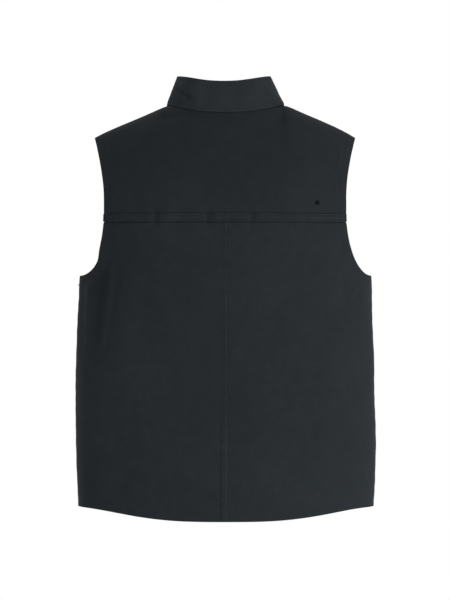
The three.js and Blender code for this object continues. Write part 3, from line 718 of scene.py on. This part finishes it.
def set_inputs(node, inputs):
    """A node's inputs by name or number, each as a value or a link."""
    for key, value in inputs.items():
        if isinstance(value, bpy.types.NodeSocket):
            node.id_data.links.new(value, node.inputs[key])
        else:
            node.inputs[key].default_value = value


def add_node(tree, kind, settings=None, **inputs):
    """One shader node with its settings and its inputs."""
    node = tree.nodes.new(kind)
    for key, value in (settings or {}).items():
        setattr(node, key, value)
    set_inputs(node, inputs)
    return node


def maths(tree, operation, *values):
    """What a maths node makes of some values."""
    node = add_node(tree, "ShaderNodeMath", {"operation": operation})
    set_inputs(node, dict(enumerate(values)))
    return node.outputs[0]


def noise(tree, place, scale, detail, **more):
    """Soft noise over a place."""
    return add_node(tree, "ShaderNodeTexNoise", Vector=place, Scale=scale, Detail=detail,
                    **more).outputs[0]


def colour_ramp(tree, factor, stops):
    """A colour that changes with a factor through stops, each a place and an sRGB hex colour."""
    ramp = add_node(tree, "ShaderNodeValToRGB", Fac=factor)
    elements = ramp.color_ramp.elements
    for element, (place, colour) in zip(elements, (stops[0], stops[-1])):
        element.position = place
        element.color = linear(colour)
    for place, colour in stops[1:-1]:
        elements.new(place).color = linear(colour)
    return ramp.outputs[0]


def new_material(name):
    """A material with an empty principled shader, and its tree, shader and object coordinates."""
    material = bpy.data.materials.new(name)
    material.use_nodes = True
    tree = material.node_tree
    tree.nodes.clear()
    shader = tree.nodes.new("ShaderNodeBsdfPrincipled")
    output = tree.nodes.new("ShaderNodeOutputMaterial")
    tree.links.new(shader.outputs[0], output.inputs[0])
    return material, tree, shader, add_node(tree, "ShaderNodeTexCoord").outputs["Object"]


def add_bump(tree, height, strength, distance):
    """A normal bent by a height."""
    return add_node(tree, "ShaderNodeBump", Height=height, Strength=strength,
                    Distance=distance).outputs[0]


THREAD_PITCH = 0.62  # mm between the threads of the duck canvas, as a 12 oz cloth has
WAVE_SCALE = 1 / THREAD_PITCH / MM / 20  # a wave texture has 20 bands in a unit at the scale 1
# How the yarns' unevenness is stretched along the weft and along the warp
YARN_SCALES = ((90.0, 900.0, 1.0), (900.0, 70.0, 1.0))


def cotton_duck(name, dark, base, pale):
    """Cotton duck canvas, plain woven from doubled yarns, piece dyed charcoal and washed: a
    matt face with a fine grid of yarns, yarns of uneven thickness, and faded high spots."""
    material, tree, shader, place = new_material(name)
    uv = add_node(tree, "ShaderNodeUVMap", {"uv_map": "cloth"}).outputs[0]
    warp, weft = (
        add_node(tree, "ShaderNodeTexWave", {"bands_direction": axis, "wave_profile": "SIN"},
                 Vector=uv, Scale=WAVE_SCALE, Distortion=0.6, Detail=1.0).outputs[1]
        for axis in "XY"
    )
    weave = maths(tree, "MULTIPLY", warp, weft)
    weft_yarns, warp_yarns = (
        noise(tree, add_node(tree, "ShaderNodeMapping", Vector=uv, Scale=scale).outputs[0], 1.0, 2.0)
        for scale in YARN_SCALES
    )
    slubs = maths(tree, "ADD", weft_yarns, warp_yarns)
    wash = noise(tree, place, 7.0, 4.0, Roughness=0.55)
    mottle = noise(tree, place, 60.0, 3.0, Roughness=0.6)
    tone = maths(tree, "MULTIPLY", wash, 0.35)
    for part, share in ((slubs, 0.35), (mottle, 0.35), (weave, 0.12)):
        tone = maths(tree, "MULTIPLY_ADD", part, share, tone)
    height = maths(tree, "MULTIPLY_ADD", slubs, 0.5, weave)
    set_inputs(shader, {
        "Base Color": colour_ramp(tree, tone, [(0.50, dark), (0.73, base), (0.98, pale)]),
        "Normal": add_bump(tree, height, 0.25, 0.00025),
        "Roughness": 0.88,
        "Specular IOR Level": 0.08,
        "Sheen Weight": 0.02,
        "Sheen Roughness": 0.55,
    })
    return material


def spun_thread(name, dark, pale):
    """Spun polyester thread, twisted from two plies: a soft sheen and a slight twist."""
    material, tree, shader, place = new_material(name)
    twist = noise(tree, place, 900.0, 1.0)
    set_inputs(shader, {
        "Base Color": colour_ramp(tree, twist, [(0.0, dark), (1.0, pale)]),
        "Roughness": 0.7,
        "Specular IOR Level": 0.12,
    })
    return material


def grained(name, dark, pale, scale, roughness, strength, mirror=0.5):
    """A moulded or printed surface: two near tones in fine grain, with the grain as bump."""
    material, tree, shader, place = new_material(name)
    grain = noise(tree, place, scale, 3.0)
    set_inputs(shader, {
        "Base Color": colour_ramp(tree, grain, [(0.3, dark), (0.7, pale)]),
        "Normal": add_bump(tree, grain, strength, 0.0002),
        "Roughness": roughness,
        "Specular IOR Level": mirror,
    })
    return material


# The washed face of the panels, the same cloth painted paler on the collar as painted light for the
# light the upturned collar catches, and the same cloth a little darker in the felled bands
CANVAS = cotton_duck("washed_cotton_duck", "#14181b", "#181c1f", "#1d2124")
COLLAR_CANVAS_PAINTED_LIGHTER = cotton_duck("collar_cotton_duck_painted_lighter", "#181c1f", "#1c2023", "#212528")
CANVAS_EDGE = cotton_duck("folded_cotton_duck", "#131719", "#171b1e", "#1d2124")
THREAD = spun_thread("spun_polyester_thread", "#14181b", "#262c30")
# The same thread painted paler, as painted highlight, for stitches on the raised bands and the
# collar's foot that catch the light
HIGHLIGHT_THREAD = spun_thread("highlight_painted_polyester_thread", "#1d2226", "#353c41")
# Acetal, moulded, for the zip's teeth: smooth, with a dull shine
ACETAL = grained("moulded_acetal", "#0c0d0e", "#131416", 400.0, 0.42, 0.2, mirror=0.4)
# Woven polyester tape: finer and smoother than the canvas
TAPE = grained("woven_polyester_tape", "#0e0f10", "#151719", 1500.0, 0.8, 0.5, mirror=0.1)
# Zinc, die cast and painted black, for the slider
SLIDER_PAINT = grained("black_painted_zinc", "#101113", "#18191b", 300.0, 0.35, 0.15)
# Printed rubbery ink for the plain dot: near black and matt
INK = grained("rubbery_print", "#060607", "#0b0c0d", 500.0, 0.8, 0.3, mirror=0.05)


# Panels

FINE = 3.2  # mm between the grid lines of a panel
SEAM_ROOM = 12.0  # below the yoke seam, where the rows lie closer
AVERAGINGS = 80
HALVINGS = 50


def eased(start, top, count):
    """Heights from a start to a top that close up towards the top, where the cloth turns."""
    share = np.sin(QUARTER * np.arange(1, count + 1) / count)
    return start + (top - start)[None, :] * share[:, None]


def column_tops(side, hand, shares):
    """Heights where columns meet the top edge, found by repeated averaging."""
    z = np.full(shares.shape, -SHOULDER_DROP / 2)
    inside = shares < NECK_SHARE - 1e-6
    for _ in range(AVERAGINGS):
        x = hand * half_width(z) * np.sin(column_angle(side, shares, z))
        z = (z + np.where(inside, neckline(side, x), shoulder_line(x))) / 2
    return z


def find_share(x):
    """Share of the column that reaches x at the height of the neck points, by halving."""
    low, high = 0.0, 1.0
    for _ in range(HALVINGS):
        middle = (low + high) / 2
        angle = float(column_angle(BACK, middle, np.array(0.0)))
        reached = float(half_width(0.0) * math.sin(angle))
        low, high = (middle, high) if reached < x else (low, middle)
    return (low + high) / 2


NECK_SHARE = find_share(NECK_HALF_WIDTH)


def column_shares(first):
    """Columns from the middle to the side, in even steps round the neck and then even."""
    turns = np.linspace(0, QUARTER, 37)
    inside = [find_share(max(first, NECK_HALF_WIDTH * math.sin(t))) for t in turns[:-1]]
    return np.concatenate([inside, np.linspace(NECK_SHARE, 1, 80)])


BACK_SHARES = column_shares(0.0)
FRONT_SHARES = column_shares(ZIP_OPENING / 2)


def lower_rows(side, shares):
    """Heights from the hem to the underarm, even along each column."""
    share = np.linspace(0, 1, int((BODY_LENGTH + UNDERARM) / FINE))[:, None]
    hem = hem_height(side, shares)[None, :]
    return hem + (UNDERARM - hem) * share


def underarm_rows(top_share, count):
    """Heights above the underarm, close together where the armhole's edge is nearly level."""
    return UNDERARM + (np.arange(1, count + 1) / count) ** 2.0 * top_share * ARMHOLE_DEPTH


def panel_points(side, hand, shares, heights, middle_x):
    """The grid of a panel: columns from the middle out, rows up from the hem."""
    points, _ = cloth(side, hand * column_angle(side, shares[None, :], heights), heights)
    points[:, 0, 0] = middle_x
    return points


def back_panel(hand):
    """A lower back panel, from the tail to the yoke seam."""
    top = (YOKE_SEAM - SEAM_ROOM - UNDERARM) / ARMHOLE_DEPTH
    by_seam = np.linspace(YOKE_SEAM - SEAM_ROOM, YOKE_SEAM - SEAM_GAP, 16)[1:]
    rows = np.concatenate([underarm_rows(top, 40), by_seam])
    upper = np.repeat(rows[:, None], len(BACK_SHARES), axis=1)
    heights = np.concatenate([lower_rows(BACK, BACK_SHARES), upper])
    return panel_points(BACK, hand, BACK_SHARES, heights, BACK_SEAM_X + hand * SEAM_GAP)


def front_panel(hand):
    """A front panel, from the hem to the neckline and the shoulder line."""
    arm = underarm_rows(0.32, 36)
    upper = np.repeat(arm[:, None], len(FRONT_SHARES), axis=1)
    shoulder = eased(arm[-1], column_tops(FRONT, hand, FRONT_SHARES), 60)
    heights = np.concatenate([lower_rows(FRONT, FRONT_SHARES), upper, shoulder])
    return panel_points(FRONT, hand, FRONT_SHARES, heights, hand * ZIP_OPENING / 2)


def yoke_points():
    """The grid of the yoke, from its seam up, with columns from the left to the right."""
    start = np.full((1, len(BACK_SHARES)), YOKE_SEAM + SEAM_GAP)
    band = start + np.linspace(0, YOKE_BAND, 8)[:, None]
    halves = []
    for hand in (-1, 1):
        tops = column_tops(BACK, hand, BACK_SHARES)
        heights = np.concatenate([band, eased(float(band[-1, 0]), tops, 62)])
        points, _ = cloth(BACK, hand * column_angle(BACK, BACK_SHARES[None, :], heights), heights)
        halves.append(points)
    left, right = halves
    return np.concatenate([left[:, :0:-1], right], axis=1)


# The collar

COLLAR_ROWS = 30
COLLAR_SEAT = 0.9  # from the neckline up to the collar's outer edge
COLLAR_LIP = 4.5  # how far the collar's inner side reaches down behind the neckline
COLLAR_TOP_SHIFT = -2.4  # the collar's top stands a little to the left of its foot
COLLAR_BACK_RISE = 4.2  # how much higher the collar is at the middle of the back
COLLAR_FRONT_STRAIGHT = 25.0  # beside the zip, where the collar turns from upright to leaning
COLLAR_BOXED = 7.0  # how far the collar's top stands out between its middle and its corners
COLLAR_BOX_POWER = 1.6  # above 1, so that it stands out more towards the corners
# The collar's sides: how far each stands out all the way up, and how far it bulges at its foot
LEFT_SIDE_OUT, RIGHT_SIDE_OUT = 1.8, 1.4
LEFT_FOOT_BULGE, RIGHT_FOOT_BULGE = 2.2, 3.8
SIDE_STARTS = 0.75  # share of the half width
SIDE_RISE, BULGE_HEIGHT = 0.2, 0.08  # shares of the collar's height
# The collar's own relief: the proud lower edge (height, share of the height, half width), the
# belly of its face, its slack and the fine waves round it
COLLAR_EDGE = (1.1, 0.03, 0.05)
COLLAR_BELLY = 1.2
COLLAR_SLACK = 0.55
COLLAR_WAVE, COLLAR_WAVE_LENGTH = 0.12, 4.1
# Creases of the collar: x, z at both ends, half width and height
COLLAR_CREASES = [
    (-90, 34, -56, 8, 3.0, -4.2), (-80, 40, -40, 12, 5, 1.8), (-20, 40, 0, 8, 9, 0.6),
    (4, 26, 22, -6, 8, -0.7), (56, 32, 90, 0, 6, -1.4), (70, 24, 95, 8, 4.5, 2.8),
]


def neckline_points(side, turns):
    """Points of the neckline at some turns round the neck from its middle."""
    x = NECK_HALF_WIDTH * np.sin(turns)
    z = neckline(side, x)
    return bare_point(side, np.arcsin(x / half_width(z)), z)


def collar_foot():
    """The collar's foot from the zip round the back to the zip: the necklines of the panels."""
    by_zip = math.asin(ZIP_OPENING / 2 / NECK_HALF_WIDTH)
    right = neckline_points(FRONT, np.linspace(by_zip, QUARTER, 52))
    back = neckline_points(BACK, np.linspace(-QUARTER, QUARTER, 170)[1:-1])
    return np.concatenate([right * (-1, 1, 1), back, right[::-1]])


def collar_face():
    """The collar's outer face, its normals and the way up it: its foot carried up, narrowed
    and leaned in by shares. Its back is boxed, standing out between its middle and its
    corners, and its sides stand out with a bulge at the foot. Creases and slack lie on it."""
    foot = collar_foot()
    shares = np.linspace(0, 1, COLLAR_ROWS)[:, None]
    at_back, at_right = foot[:, 1] < 0, foot[:, 0] > 0
    reach = np.where(at_back, -foot[:, 1].min(), foot[:, 1].max())
    lean = np.where(at_back, COLLAR_BACK_LEAN, COLLAR_FRONT_LEAN) / reach
    by_zip = smooth((np.abs(foot[:, 0]) - ZIP_OPENING / 2) / COLLAR_FRONT_STRAIGHT)
    ends = np.where(at_back, 1, by_zip)
    narrow = (1 - COLLAR_TOP_HALF_WIDTH / NECK_HALF_WIDTH) * ends
    rise = COLLAR_HEIGHT + COLLAR_BACK_RISE * np.maximum(0, -foot[:, 1]) / -foot[:, 1].min()
    across = np.abs(foot[:, 0]) / NECK_HALF_WIDTH
    boxed = COLLAR_BOXED * np.sin(np.pi * across**COLLAR_BOX_POWER) ** 2 * at_back
    at_side = smooth((across - SIDE_STARTS) / (1 - SIDE_STARTS))
    side_out = np.where(at_right, RIGHT_SIDE_OUT, -LEFT_SIDE_OUT) * smooth(shares / SIDE_RISE)
    low = shares / BULGE_HEIGHT
    bulge = np.where(at_right, RIGHT_FOOT_BULGE, -LEFT_FOOT_BULGE) * low * np.exp(1 - low)
    x = foot[:, 0] * (1 - shares * narrow) + COLLAR_TOP_SHIFT * shares * ends
    x = x + at_side * (side_out + bulge)
    y = foot[:, 1] * (1 - shares * lean) - np.sin(QUARTER * shares) * boxed
    z = foot[:, 2] + COLLAR_SEAT + shares * rise
    points = np.stack([x, y, z], axis=-1)
    up = np.gradient(points, axis=0)
    normal = unit(np.cross(np.gradient(points, axis=1), up))
    normal *= np.sign((normal * points * (1, 1, 0)).sum())
    proud, place, half = COLLAR_EDGE
    total = COLLAR_SLACK * slack(points * (1, 1, 1.6))
    total += proud * bell(shares - place, half) + COLLAR_BELLY * np.sin(np.pi * shares) ** 2
    total += COLLAR_WAVE * np.sin(x / COLLAR_WAVE_LENGTH)
    for crease in COLLAR_CREASES:
        total += fold(x, z, crease, *CREASE_ENDS) * (y < 0)
    return points + normal * (total * ends)[..., None], normal, unit(up)


COLLAR_FACE, COLLAR_NORMAL, COLLAR_UP = collar_face()


def collar_wall():
    """Rings round the collar's section: up the outer face, over a rolled top, down the inner
    face and under it behind the neckline."""
    last = COLLAR_ROWS - 1
    wall = COLLAR_THICKNESS - 0.4
    behind = CLOTH_THICKNESS + 0.25
    # row of the outer face, how deep behind it and how far above it
    section = [
        *[(j, 0.0, 0.0) for j in range(COLLAR_ROWS)],
        (last, 0.15 * wall, 0.45), (last, 0.5 * wall, 0.7), (last, 0.85 * wall, 0.45),
        *[(j, wall, 0.0) for j in range(last, -1, -1)],
        (0, wall, -COLLAR_LIP), (0, behind, -COLLAR_LIP), (0, behind, -0.3),
        (0, 0.9, -0.4), (0, 0.2, -0.25),
    ]
    places = [
        COLLAR_FACE[j] - COLLAR_NORMAL[j] * deep + COLLAR_UP[j] * rise for j, deep, rise in section
    ]
    return np.stack(places, axis=1)


# Strips of cloth laid on the panels

YOKE_ROWS = (5.2, 11.4)
BACK_ROWS = (BACK_BAND / 2 - 3.45, BACK_BAND / 2 + 3.45)
ROW_DRAWN_IN = 0.42  # how far a row of stitches draws a band in
BAND_PUFF = 0.16  # share of a band's lift that comes and goes along it
# Small creases across the centre-back band, where the thread draws it in: heights in mm
BAND_CREASES = np.array([
    -208, -218, -223, -246, -317, -323, -357, -392, -431, -476, -510, -547, -602, -684, -694,
])
CREASE_HALF = 1.3
CREASE_HEIGHT = 0.55
# The centre-back band leans to one side at the top and to the other below a height
BAND_LEAN = 0.75
BAND_TURNS, BAND_TURN_LENGTH = -470.0, 130.0


def laid_strip(name, strip, material, node, closed=False):
    """A closed strip: every station has a loop of places on the cloth, each with its own lift
    off it. closed joins the last station to the first."""
    points, normals, lifts = strip
    rings = points + normals * lifts[..., None]
    piece = solid_piece(name, rings, material, [node], closed)


def band_loop(width, rows, proud):
    """The section of a felled band: across and lift, rounded at both folds, drawn in at its
    rows of stitches, and closed underneath."""
    face = np.linspace(1.8, width - 1.8, 13)
    across = np.concatenate([[0.15, 0.0, 0.7], face, [width - 0.7, width, width - 0.15]])
    lift = np.full(across.shape, proud)
    lift[[0, -1]] = 0.08
    lift[[1, -2]] = 0.62 * proud
    lift[[2, -3]] = 0.93 * proud
    for row in rows:
        lift -= ROW_DRAWN_IN * bell(across - row, 1.0) * (lift > 0.5)
    return across, lift


def yoke_band():
    """The felled band above the yoke seam, from the left armhole to the right one."""
    across, lift = band_loop(YOKE_BAND, YOKE_ROWS, BAND_PROUD)
    shares = np.linspace(-1, 1, 240)[:, None]
    points, normals = across_back(shares, YOKE_SEAM - BAND_OVERLAP + across[None, :] + 0 * shares)
    puff = 1 + BAND_PUFF * uneven_wave(points[..., 0], 3.3, 2, 19)
    return points, normals, lift[None, :] * puff


def back_tilt(across, z):
    """The band's right edge stands up at the top of the seam and its left edge at the bottom."""
    lean = 1 - 2 * smooth((BAND_TURNS - z) / BAND_TURN_LENGTH)
    return 1 + BAND_LEAN * lean * (2 * across / BACK_BAND - 1)


def back_band():
    """The felled band down the middle of the back, from the tail to the yoke seam."""
    across, lift = band_loop(BACK_BAND, BACK_ROWS, BACK_BAND_PROUD)
    low = -BODY_LENGTH - TAIL_DROP
    z = np.linspace(low, YOKE_SEAM - 0.3, 520)[:, None] + 0 * across[None, :]
    points, normals = cloth_at(BACK, BACK_SEAM_X - BACK_BAND / 2 + across[None, :] + 0 * z, z)
    puff = 1 + BAND_PUFF * uneven_wave(z, 3.1, 2, 17)
    creases = CREASE_HEIGHT * bell(z[..., None] - BAND_CREASES, CREASE_HALF).sum(axis=-1)
    return points, normals, lift[None, :] * puff * back_tilt(across, z) + creases * (lift > 0.2)


def inner_loop(width):
    """The section of a strip behind the cloth: across, and lift below 0."""
    near, far = -CLOTH_THICKNESS - 0.25, -CLOTH_THICKNESS - 1.35
    middle = (near + far) / 2
    across = np.array([1.0, width / 3, 2 * width / 3, width - 0.4])
    across = np.concatenate([across, [width], across[::-1], [0.6]])
    return across, np.array([near, near, near, near, middle, far, far, far, far, middle])


def armhole_strip(hand):
    """The armhole's facing: a ring behind the edge, up the back and down the front."""
    across, lift = inner_loop(ARMHOLE_STRIP)
    halves = []
    for side, edge in zip((BACK, FRONT), armhole_edges(hand)):
        bare = np.stack([offset_in(side, edge, width) for width in across], axis=1)
        halves.append([values[::-side] for values in on_cloth(side, bare)])
    points, normals = (np.concatenate(values) for values in zip(*halves))
    normals[..., 1] *= smooth(np.abs(points[..., 1]) / 3)
    return points, unit(normals), lift[None, :] + 0 * points[..., 0]


def hem_strip():
    """The hem's facing: one strip behind the lowest part of all the panels, up to the zip."""
    across, lift = inner_loop(HEM_STRIP)
    by_zip = (ZIP_OPENING / 2 + 12) / BODY_HALF_WIDTH
    outward, inward, past_middle = slice(None), slice(None, None, -1), slice(1, None)
    runs = []
    for side, hand, start, order in (
        (FRONT, -1, by_zip, outward), (BACK, -1, 0.0, inward),
        (BACK, 1, 0.0, past_middle), (FRONT, 1, by_zip, inward),
    ):
        shares = np.linspace(start, 1, 130)[:, None]
        hem = hem_height(side, shares)
        z = hem + (HEM_TOP - 1.5 - hem) * across[None, :] / HEM_STRIP
        run = cloth(side, hand * column_angle(side, shares, z), z)
        runs.append([values[order] for values in run])
    points, normals = (np.concatenate(values) for values in zip(*runs))
    return points, normals, lift[None, :] + 0 * points[..., 0]


# The zip: tape, teeth, slider and pull

ZIP_PITCH = 3.1
TAPE_PLACES = (-15, -9, -4, 0, 4, 9, 15)
TAPE_FOLD = 15.2
TOOTH_OUTLINE = (1.25, 2.2, 8)
TOOTH_ACROSS, TOOTH_PROUD = 1.2, 1.25
TOOTH = [(-2.2, 0.8), (-1.9, 1), (1.9, 1), (2.2, 0.8)]
# The slider's plate, its bridge and its pull: how far along the zip and how proud of it, width
# and height, and stations of place and scale
SLIDER = [
    (0, 1.9, 9.0, 2.4, [(-7, 0.7), (-6, 0.92), (-3, 1), (3, 1.05), (6, 0.95), (7, 0.75)]),
    (0, 3.9, 3.2, 2.2, [(-4, 0.7), (-3, 1), (3, 1), (4, 0.7)]),
    (-20, 4.5, 6.5, 1.5, [(-15, 0.8), (-14, 1), (13, 0.9), (14.5, 0.65)]),
]


def zip_line():
    """The middle of the zip from the hem up the front and the collar, and the way out of it."""
    z = np.linspace(-BODY_LENGTH, -NECK_FRONT_DROP, 190)
    body, normal = on_cloth(FRONT, bare_point(FRONT, 0 * z, z))
    collar = COLLAR_FACE[1:, 0] * (0, 1, 1)
    up = COLLAR_UP[1:, 0]
    out = np.stack([0 * up[:, 0], up[:, 2], -up[:, 1]], axis=-1)
    normals = np.concatenate([normal, out]) * (0, 1, 1)
    return even_steps(np.concatenate([body, collar]), unit(normals), 3.0)


def rounded_outline(width, height, count=16):
    """A superellipse with the power 5: nearly a rectangle, with rounded corners."""
    turn = np.arange(count) * 2 * math.pi / count + math.pi / count
    circle = np.stack([np.cos(turn), np.sin(turn)], axis=-1)
    return np.sign(circle) * np.abs(circle) ** 0.4 * (width / 2, height / 2)


def zip_pieces():
    """The tape behind the cloth, teeth from both sides in turn, and the slider with its pull."""
    path, out = zip_line()
    level = np.array([1.0, 0.0, 0.0])
    near, far = -CLOTH_THICKNESS - 0.4, -CLOTH_THICKNESS - 1.0
    middle = (near + far) / 2
    face = [(x, near + (0.05 if x == 0 else 0)) for x in TAPE_PLACES]
    back = [(x, far) for x in TAPE_PLACES[::-1]]
    tape = np.array([*face, (TAPE_FOLD, middle), *back, (-TAPE_FOLD, middle)])
    rings = path[:, None] + level * tape[:, :1] + out[:, None] * tape[:, 1:]
    solid_piece("zip_tape", rings, TAPE, ["front_zip"])
    steps, steps_out = even_steps(path[2:-2], out[2:-2], ZIP_PITCH / 2)
    hand = np.where(np.arange(len(steps)) % 2, 1.0, -1.0)[:, None]
    centres = steps + level * hand * TOOTH_ACROSS + steps_out * (near + TOOTH_PROUD)
    outline = rounded_outline(*TOOTH_OUTLINE)
    teeth = loft(centres, level, path_frame(steps), steps_out, outline, TOOTH)
    lofts_piece("zip_teeth", [teeth], ACETAL)
    top = len(path) - 5
    place, away, up = path[top], out[top], path_frame(path)[top]
    groups = [
        loft((place + up * rise + away * proud)[None], up, level, away,
             rounded_outline(width, height), stations)
        for rise, proud, width, height, stations in SLIDER
    ]
    lofts_piece("zip_slider", groups, SLIDER_PAINT)


# The plain dot: rings from its middle out, each a share of the radius and a lift

DOT_SIDES = 48
DOT_RINGS = [
    (0.04, 0.42), (0.4, 0.42), (0.75, 0.42), (0.95, 0.38),
    (1.0, 0.24), (0.98, 0.08), (0.5, 0.06), (0.04, 0.06),
]


def plain_dot():
    """A printed disc on the yoke: rings from its middle out, over a soft rim and back under."""
    radius = (DOT_HIGH[0] - DOT_LOW[0]) / 2
    middle = (DOT_LOW + DOT_HIGH) / 2
    shares, lifts = np.array(DOT_RINGS).T[:, :, None]
    turn = np.arange(DOT_SIDES) * 2 * math.pi / DOT_SIDES
    x = middle[0] + radius * shares * np.cos(turn)
    z = middle[2] + radius * shares * np.sin(turn)
    points, normals = cloth_at(BACK, x, z)
    rings = points + normals * lifts[..., None]
    solid_piece("plain_dot_print", rings, INK, ["plain_dot"])


# Rows of stitches, each a path and its normals

ROW_SUNK = 0.35  # a row of stitches lies this deep below the top of the centre-back band
YOKE_ROW_SUNK = 0.4
FAR_OUT = 400.0  # beyond both armholes


def yoke_rows(highlighted):
    """The rows of stitches on the yoke's band, in its stretches with painted highlight or between
    them.
    """
    rows = []
    ends = [-FAR_OUT, *[x for stretch in HIGHLIGHT_STRETCHES for x in stretch], FAR_OUT]
    shares = np.linspace(-0.985, 0.985, 400)
    for row in YOKE_ROWS:
        z = np.full(shares.shape, YOKE_SEAM - BAND_OVERLAP + row)
        points, normals = across_back(shares, z)
        points = points + normals * (BAND_PROUD - YOKE_ROW_SUNK)
        for k in range(1 if highlighted else 0, len(ends) - 1, 2):
            inside = (points[:, 0] > ends[k]) & (points[:, 0] < ends[k + 1])
            rows.append((points[inside], normals[inside]))
    return rows


def back_rows():
    """The two rows of stitches on the centre back's band."""
    rows = []
    for row in BACK_ROWS:
        z = np.linspace(-BODY_LENGTH - TAIL_DROP + 3, YOKE_SEAM - 2, 200)
        points, normals = cloth_at(BACK, np.full(z.shape, BACK_SEAM_X - BACK_BAND / 2 + row), z)
        lift = BACK_BAND_PROUD * back_tilt(row, z) - ROW_SUNK
        rows.append((points + normals * lift[:, None], normals))
    return rows


def collar_row(row):
    """A row of stitches along one row of the collar's outer face."""
    return [(COLLAR_FACE[row, 3:-3], COLLAR_NORMAL[row, 3:-3])]


# All the pieces. Flat width and length in metres, and the cloth's area in square metres

YOKE_CUT = ((0.52, 0.26), 0.0945)
BACK_CUT = ((0.33, 0.52), 0.145)
FRONT_CUT = ((0.34, 0.70), 0.177)

sheet_piece("yoke_cloth", BACK, yoke_points(), "back_yoke", *YOKE_CUT)
sheet_piece("back_left_cloth", BACK, back_panel(-1), "back_panel_left", *BACK_CUT)
sheet_piece("back_right_cloth", BACK, back_panel(1), "back_panel_right", *BACK_CUT)
sheet_piece("front_left_cloth", FRONT, front_panel(-1), "front_panel_left", *FRONT_CUT)
sheet_piece("front_right_cloth", FRONT, front_panel(1), "front_panel_right", *FRONT_CUT)
# The collar's cloth is the canvas painted paler: painted light
collar_cloth = solid_piece("collar_cloth", collar_wall(), COLLAR_CANVAS_PAINTED_LIGHTER, ["collar"])

laid_strip("yoke_seam_band", yoke_band(), CANVAS_EDGE, "yoke_fell")
laid_strip("centre_back_band", back_band(), CANVAS_EDGE, "centre_back_fell")
for hand, word in ((-1, "left"), (1, "right")):
    laid_strip("armhole_strip_" + word, armhole_strip(hand), CANVAS, "armhole_facing_" + word,
               closed=True)
laid_strip("hem_strip", hem_strip(), CANVAS, "hem_facing")
zip_pieces()
plain_dot()

# Stitches in the paler thread: painted highlight on the yoke band's lit stretches and on the
# centre-back band
stitches("highlight_painted_stitches", yoke_rows(True) + back_rows(), HIGHLIGHT_THREAD)
stitches("yoke_stitches", yoke_rows(False), THREAD)
stitches("edge_stitches", [on_cloth(side, line) for side, line, _, _ in LINES], THREAD)
# The collar's foot stitches are in the paler thread: a painted highlight line above the collar seam
stitches("collar_foot_stitches", collar_row(1), HIGHLIGHT_THREAD)
stitches("collar_top_stitches", collar_row(COLLAR_ROWS - 4), THREAD)


# Camera: level with the middle of the vest, straight behind it, at the photograph's scale

PIXEL = 1.735  # mm of the vest to one pixel of the photograph
PHOTO_HEIGHT = 600
NECK_ROW = 106  # the pixel row of the neck points
CAMERA_AWAY = 4500.0
SENSOR = 36.0

camera_data = bpy.data.cameras.new("camera")
camera = add_object("camera", camera_data)
camera.location = (0.0, -CAMERA_AWAY * MM, (NECK_ROW - PHOTO_HEIGHT / 2) * PIXEL * MM)
camera.rotation_euler = (QUARTER, 0, 0)
camera_data.sensor_width = SENSOR
camera_data.lens = SENSOR * CAMERA_AWAY / (PHOTO_HEIGHT * PIXEL)
bpy.context.scene.camera = camera


# Soft studio light: pale all round, a large soft light low at the right and a weak one at left

WORLD_LEVEL = 1.0
KEY_POWER = 53.0
FILL_POWER = 10.0
FLOOR_Z = -1.8  # metres, well below the hem
FLOOR_HALF = 8.0

world = bpy.data.worlds.new("studio")
bpy.context.scene.world = world
world.use_nodes = True
background = world.node_tree.nodes.get("Background")
background.inputs["Color"].default_value = (1, 1, 1, 1)
background.inputs["Strength"].default_value = WORLD_LEVEL


def soft_light(name, place, aim, size, power):
    """A square area light at a place, turned towards an aim; both in metres."""
    data = bpy.data.lights.new(name, "AREA")
    data.shape = "SQUARE"
    data.size = size
    data.energy = power
    lamp = add_object(name, data)
    lamp.location = place
    lamp.rotation_euler = (Vector(aim) - Vector(place)).to_track_quat("-Z", "Y").to_euler()


soft_light("key_light", (1.7, -1.5, -1.3), (0, 0, -0.35), 0.9, KEY_POWER)
soft_light("fill_light", (-2.6, -2.4, 0.9), (0, 0, -0.3), 2.0, FILL_POWER)
bpy.context.scene.view_settings.view_transform = "Standard"

floor_mesh = bpy.data.meshes.new("floor")
corners = [(x * FLOOR_HALF, y * FLOOR_HALF, FLOOR_Z) for x, y in ((-1, -1), (1, -1), (1, 1), (-1, 1))]
floor_mesh.from_pydata(corners, [], [(0, 1, 2, 3)])
floor_mesh.materials.append(grained("white_painted_floor", "#f4f4f4", "#fafafa", 30.0, 0.9, 0.05))
floor = add_object("floor", floor_mesh)
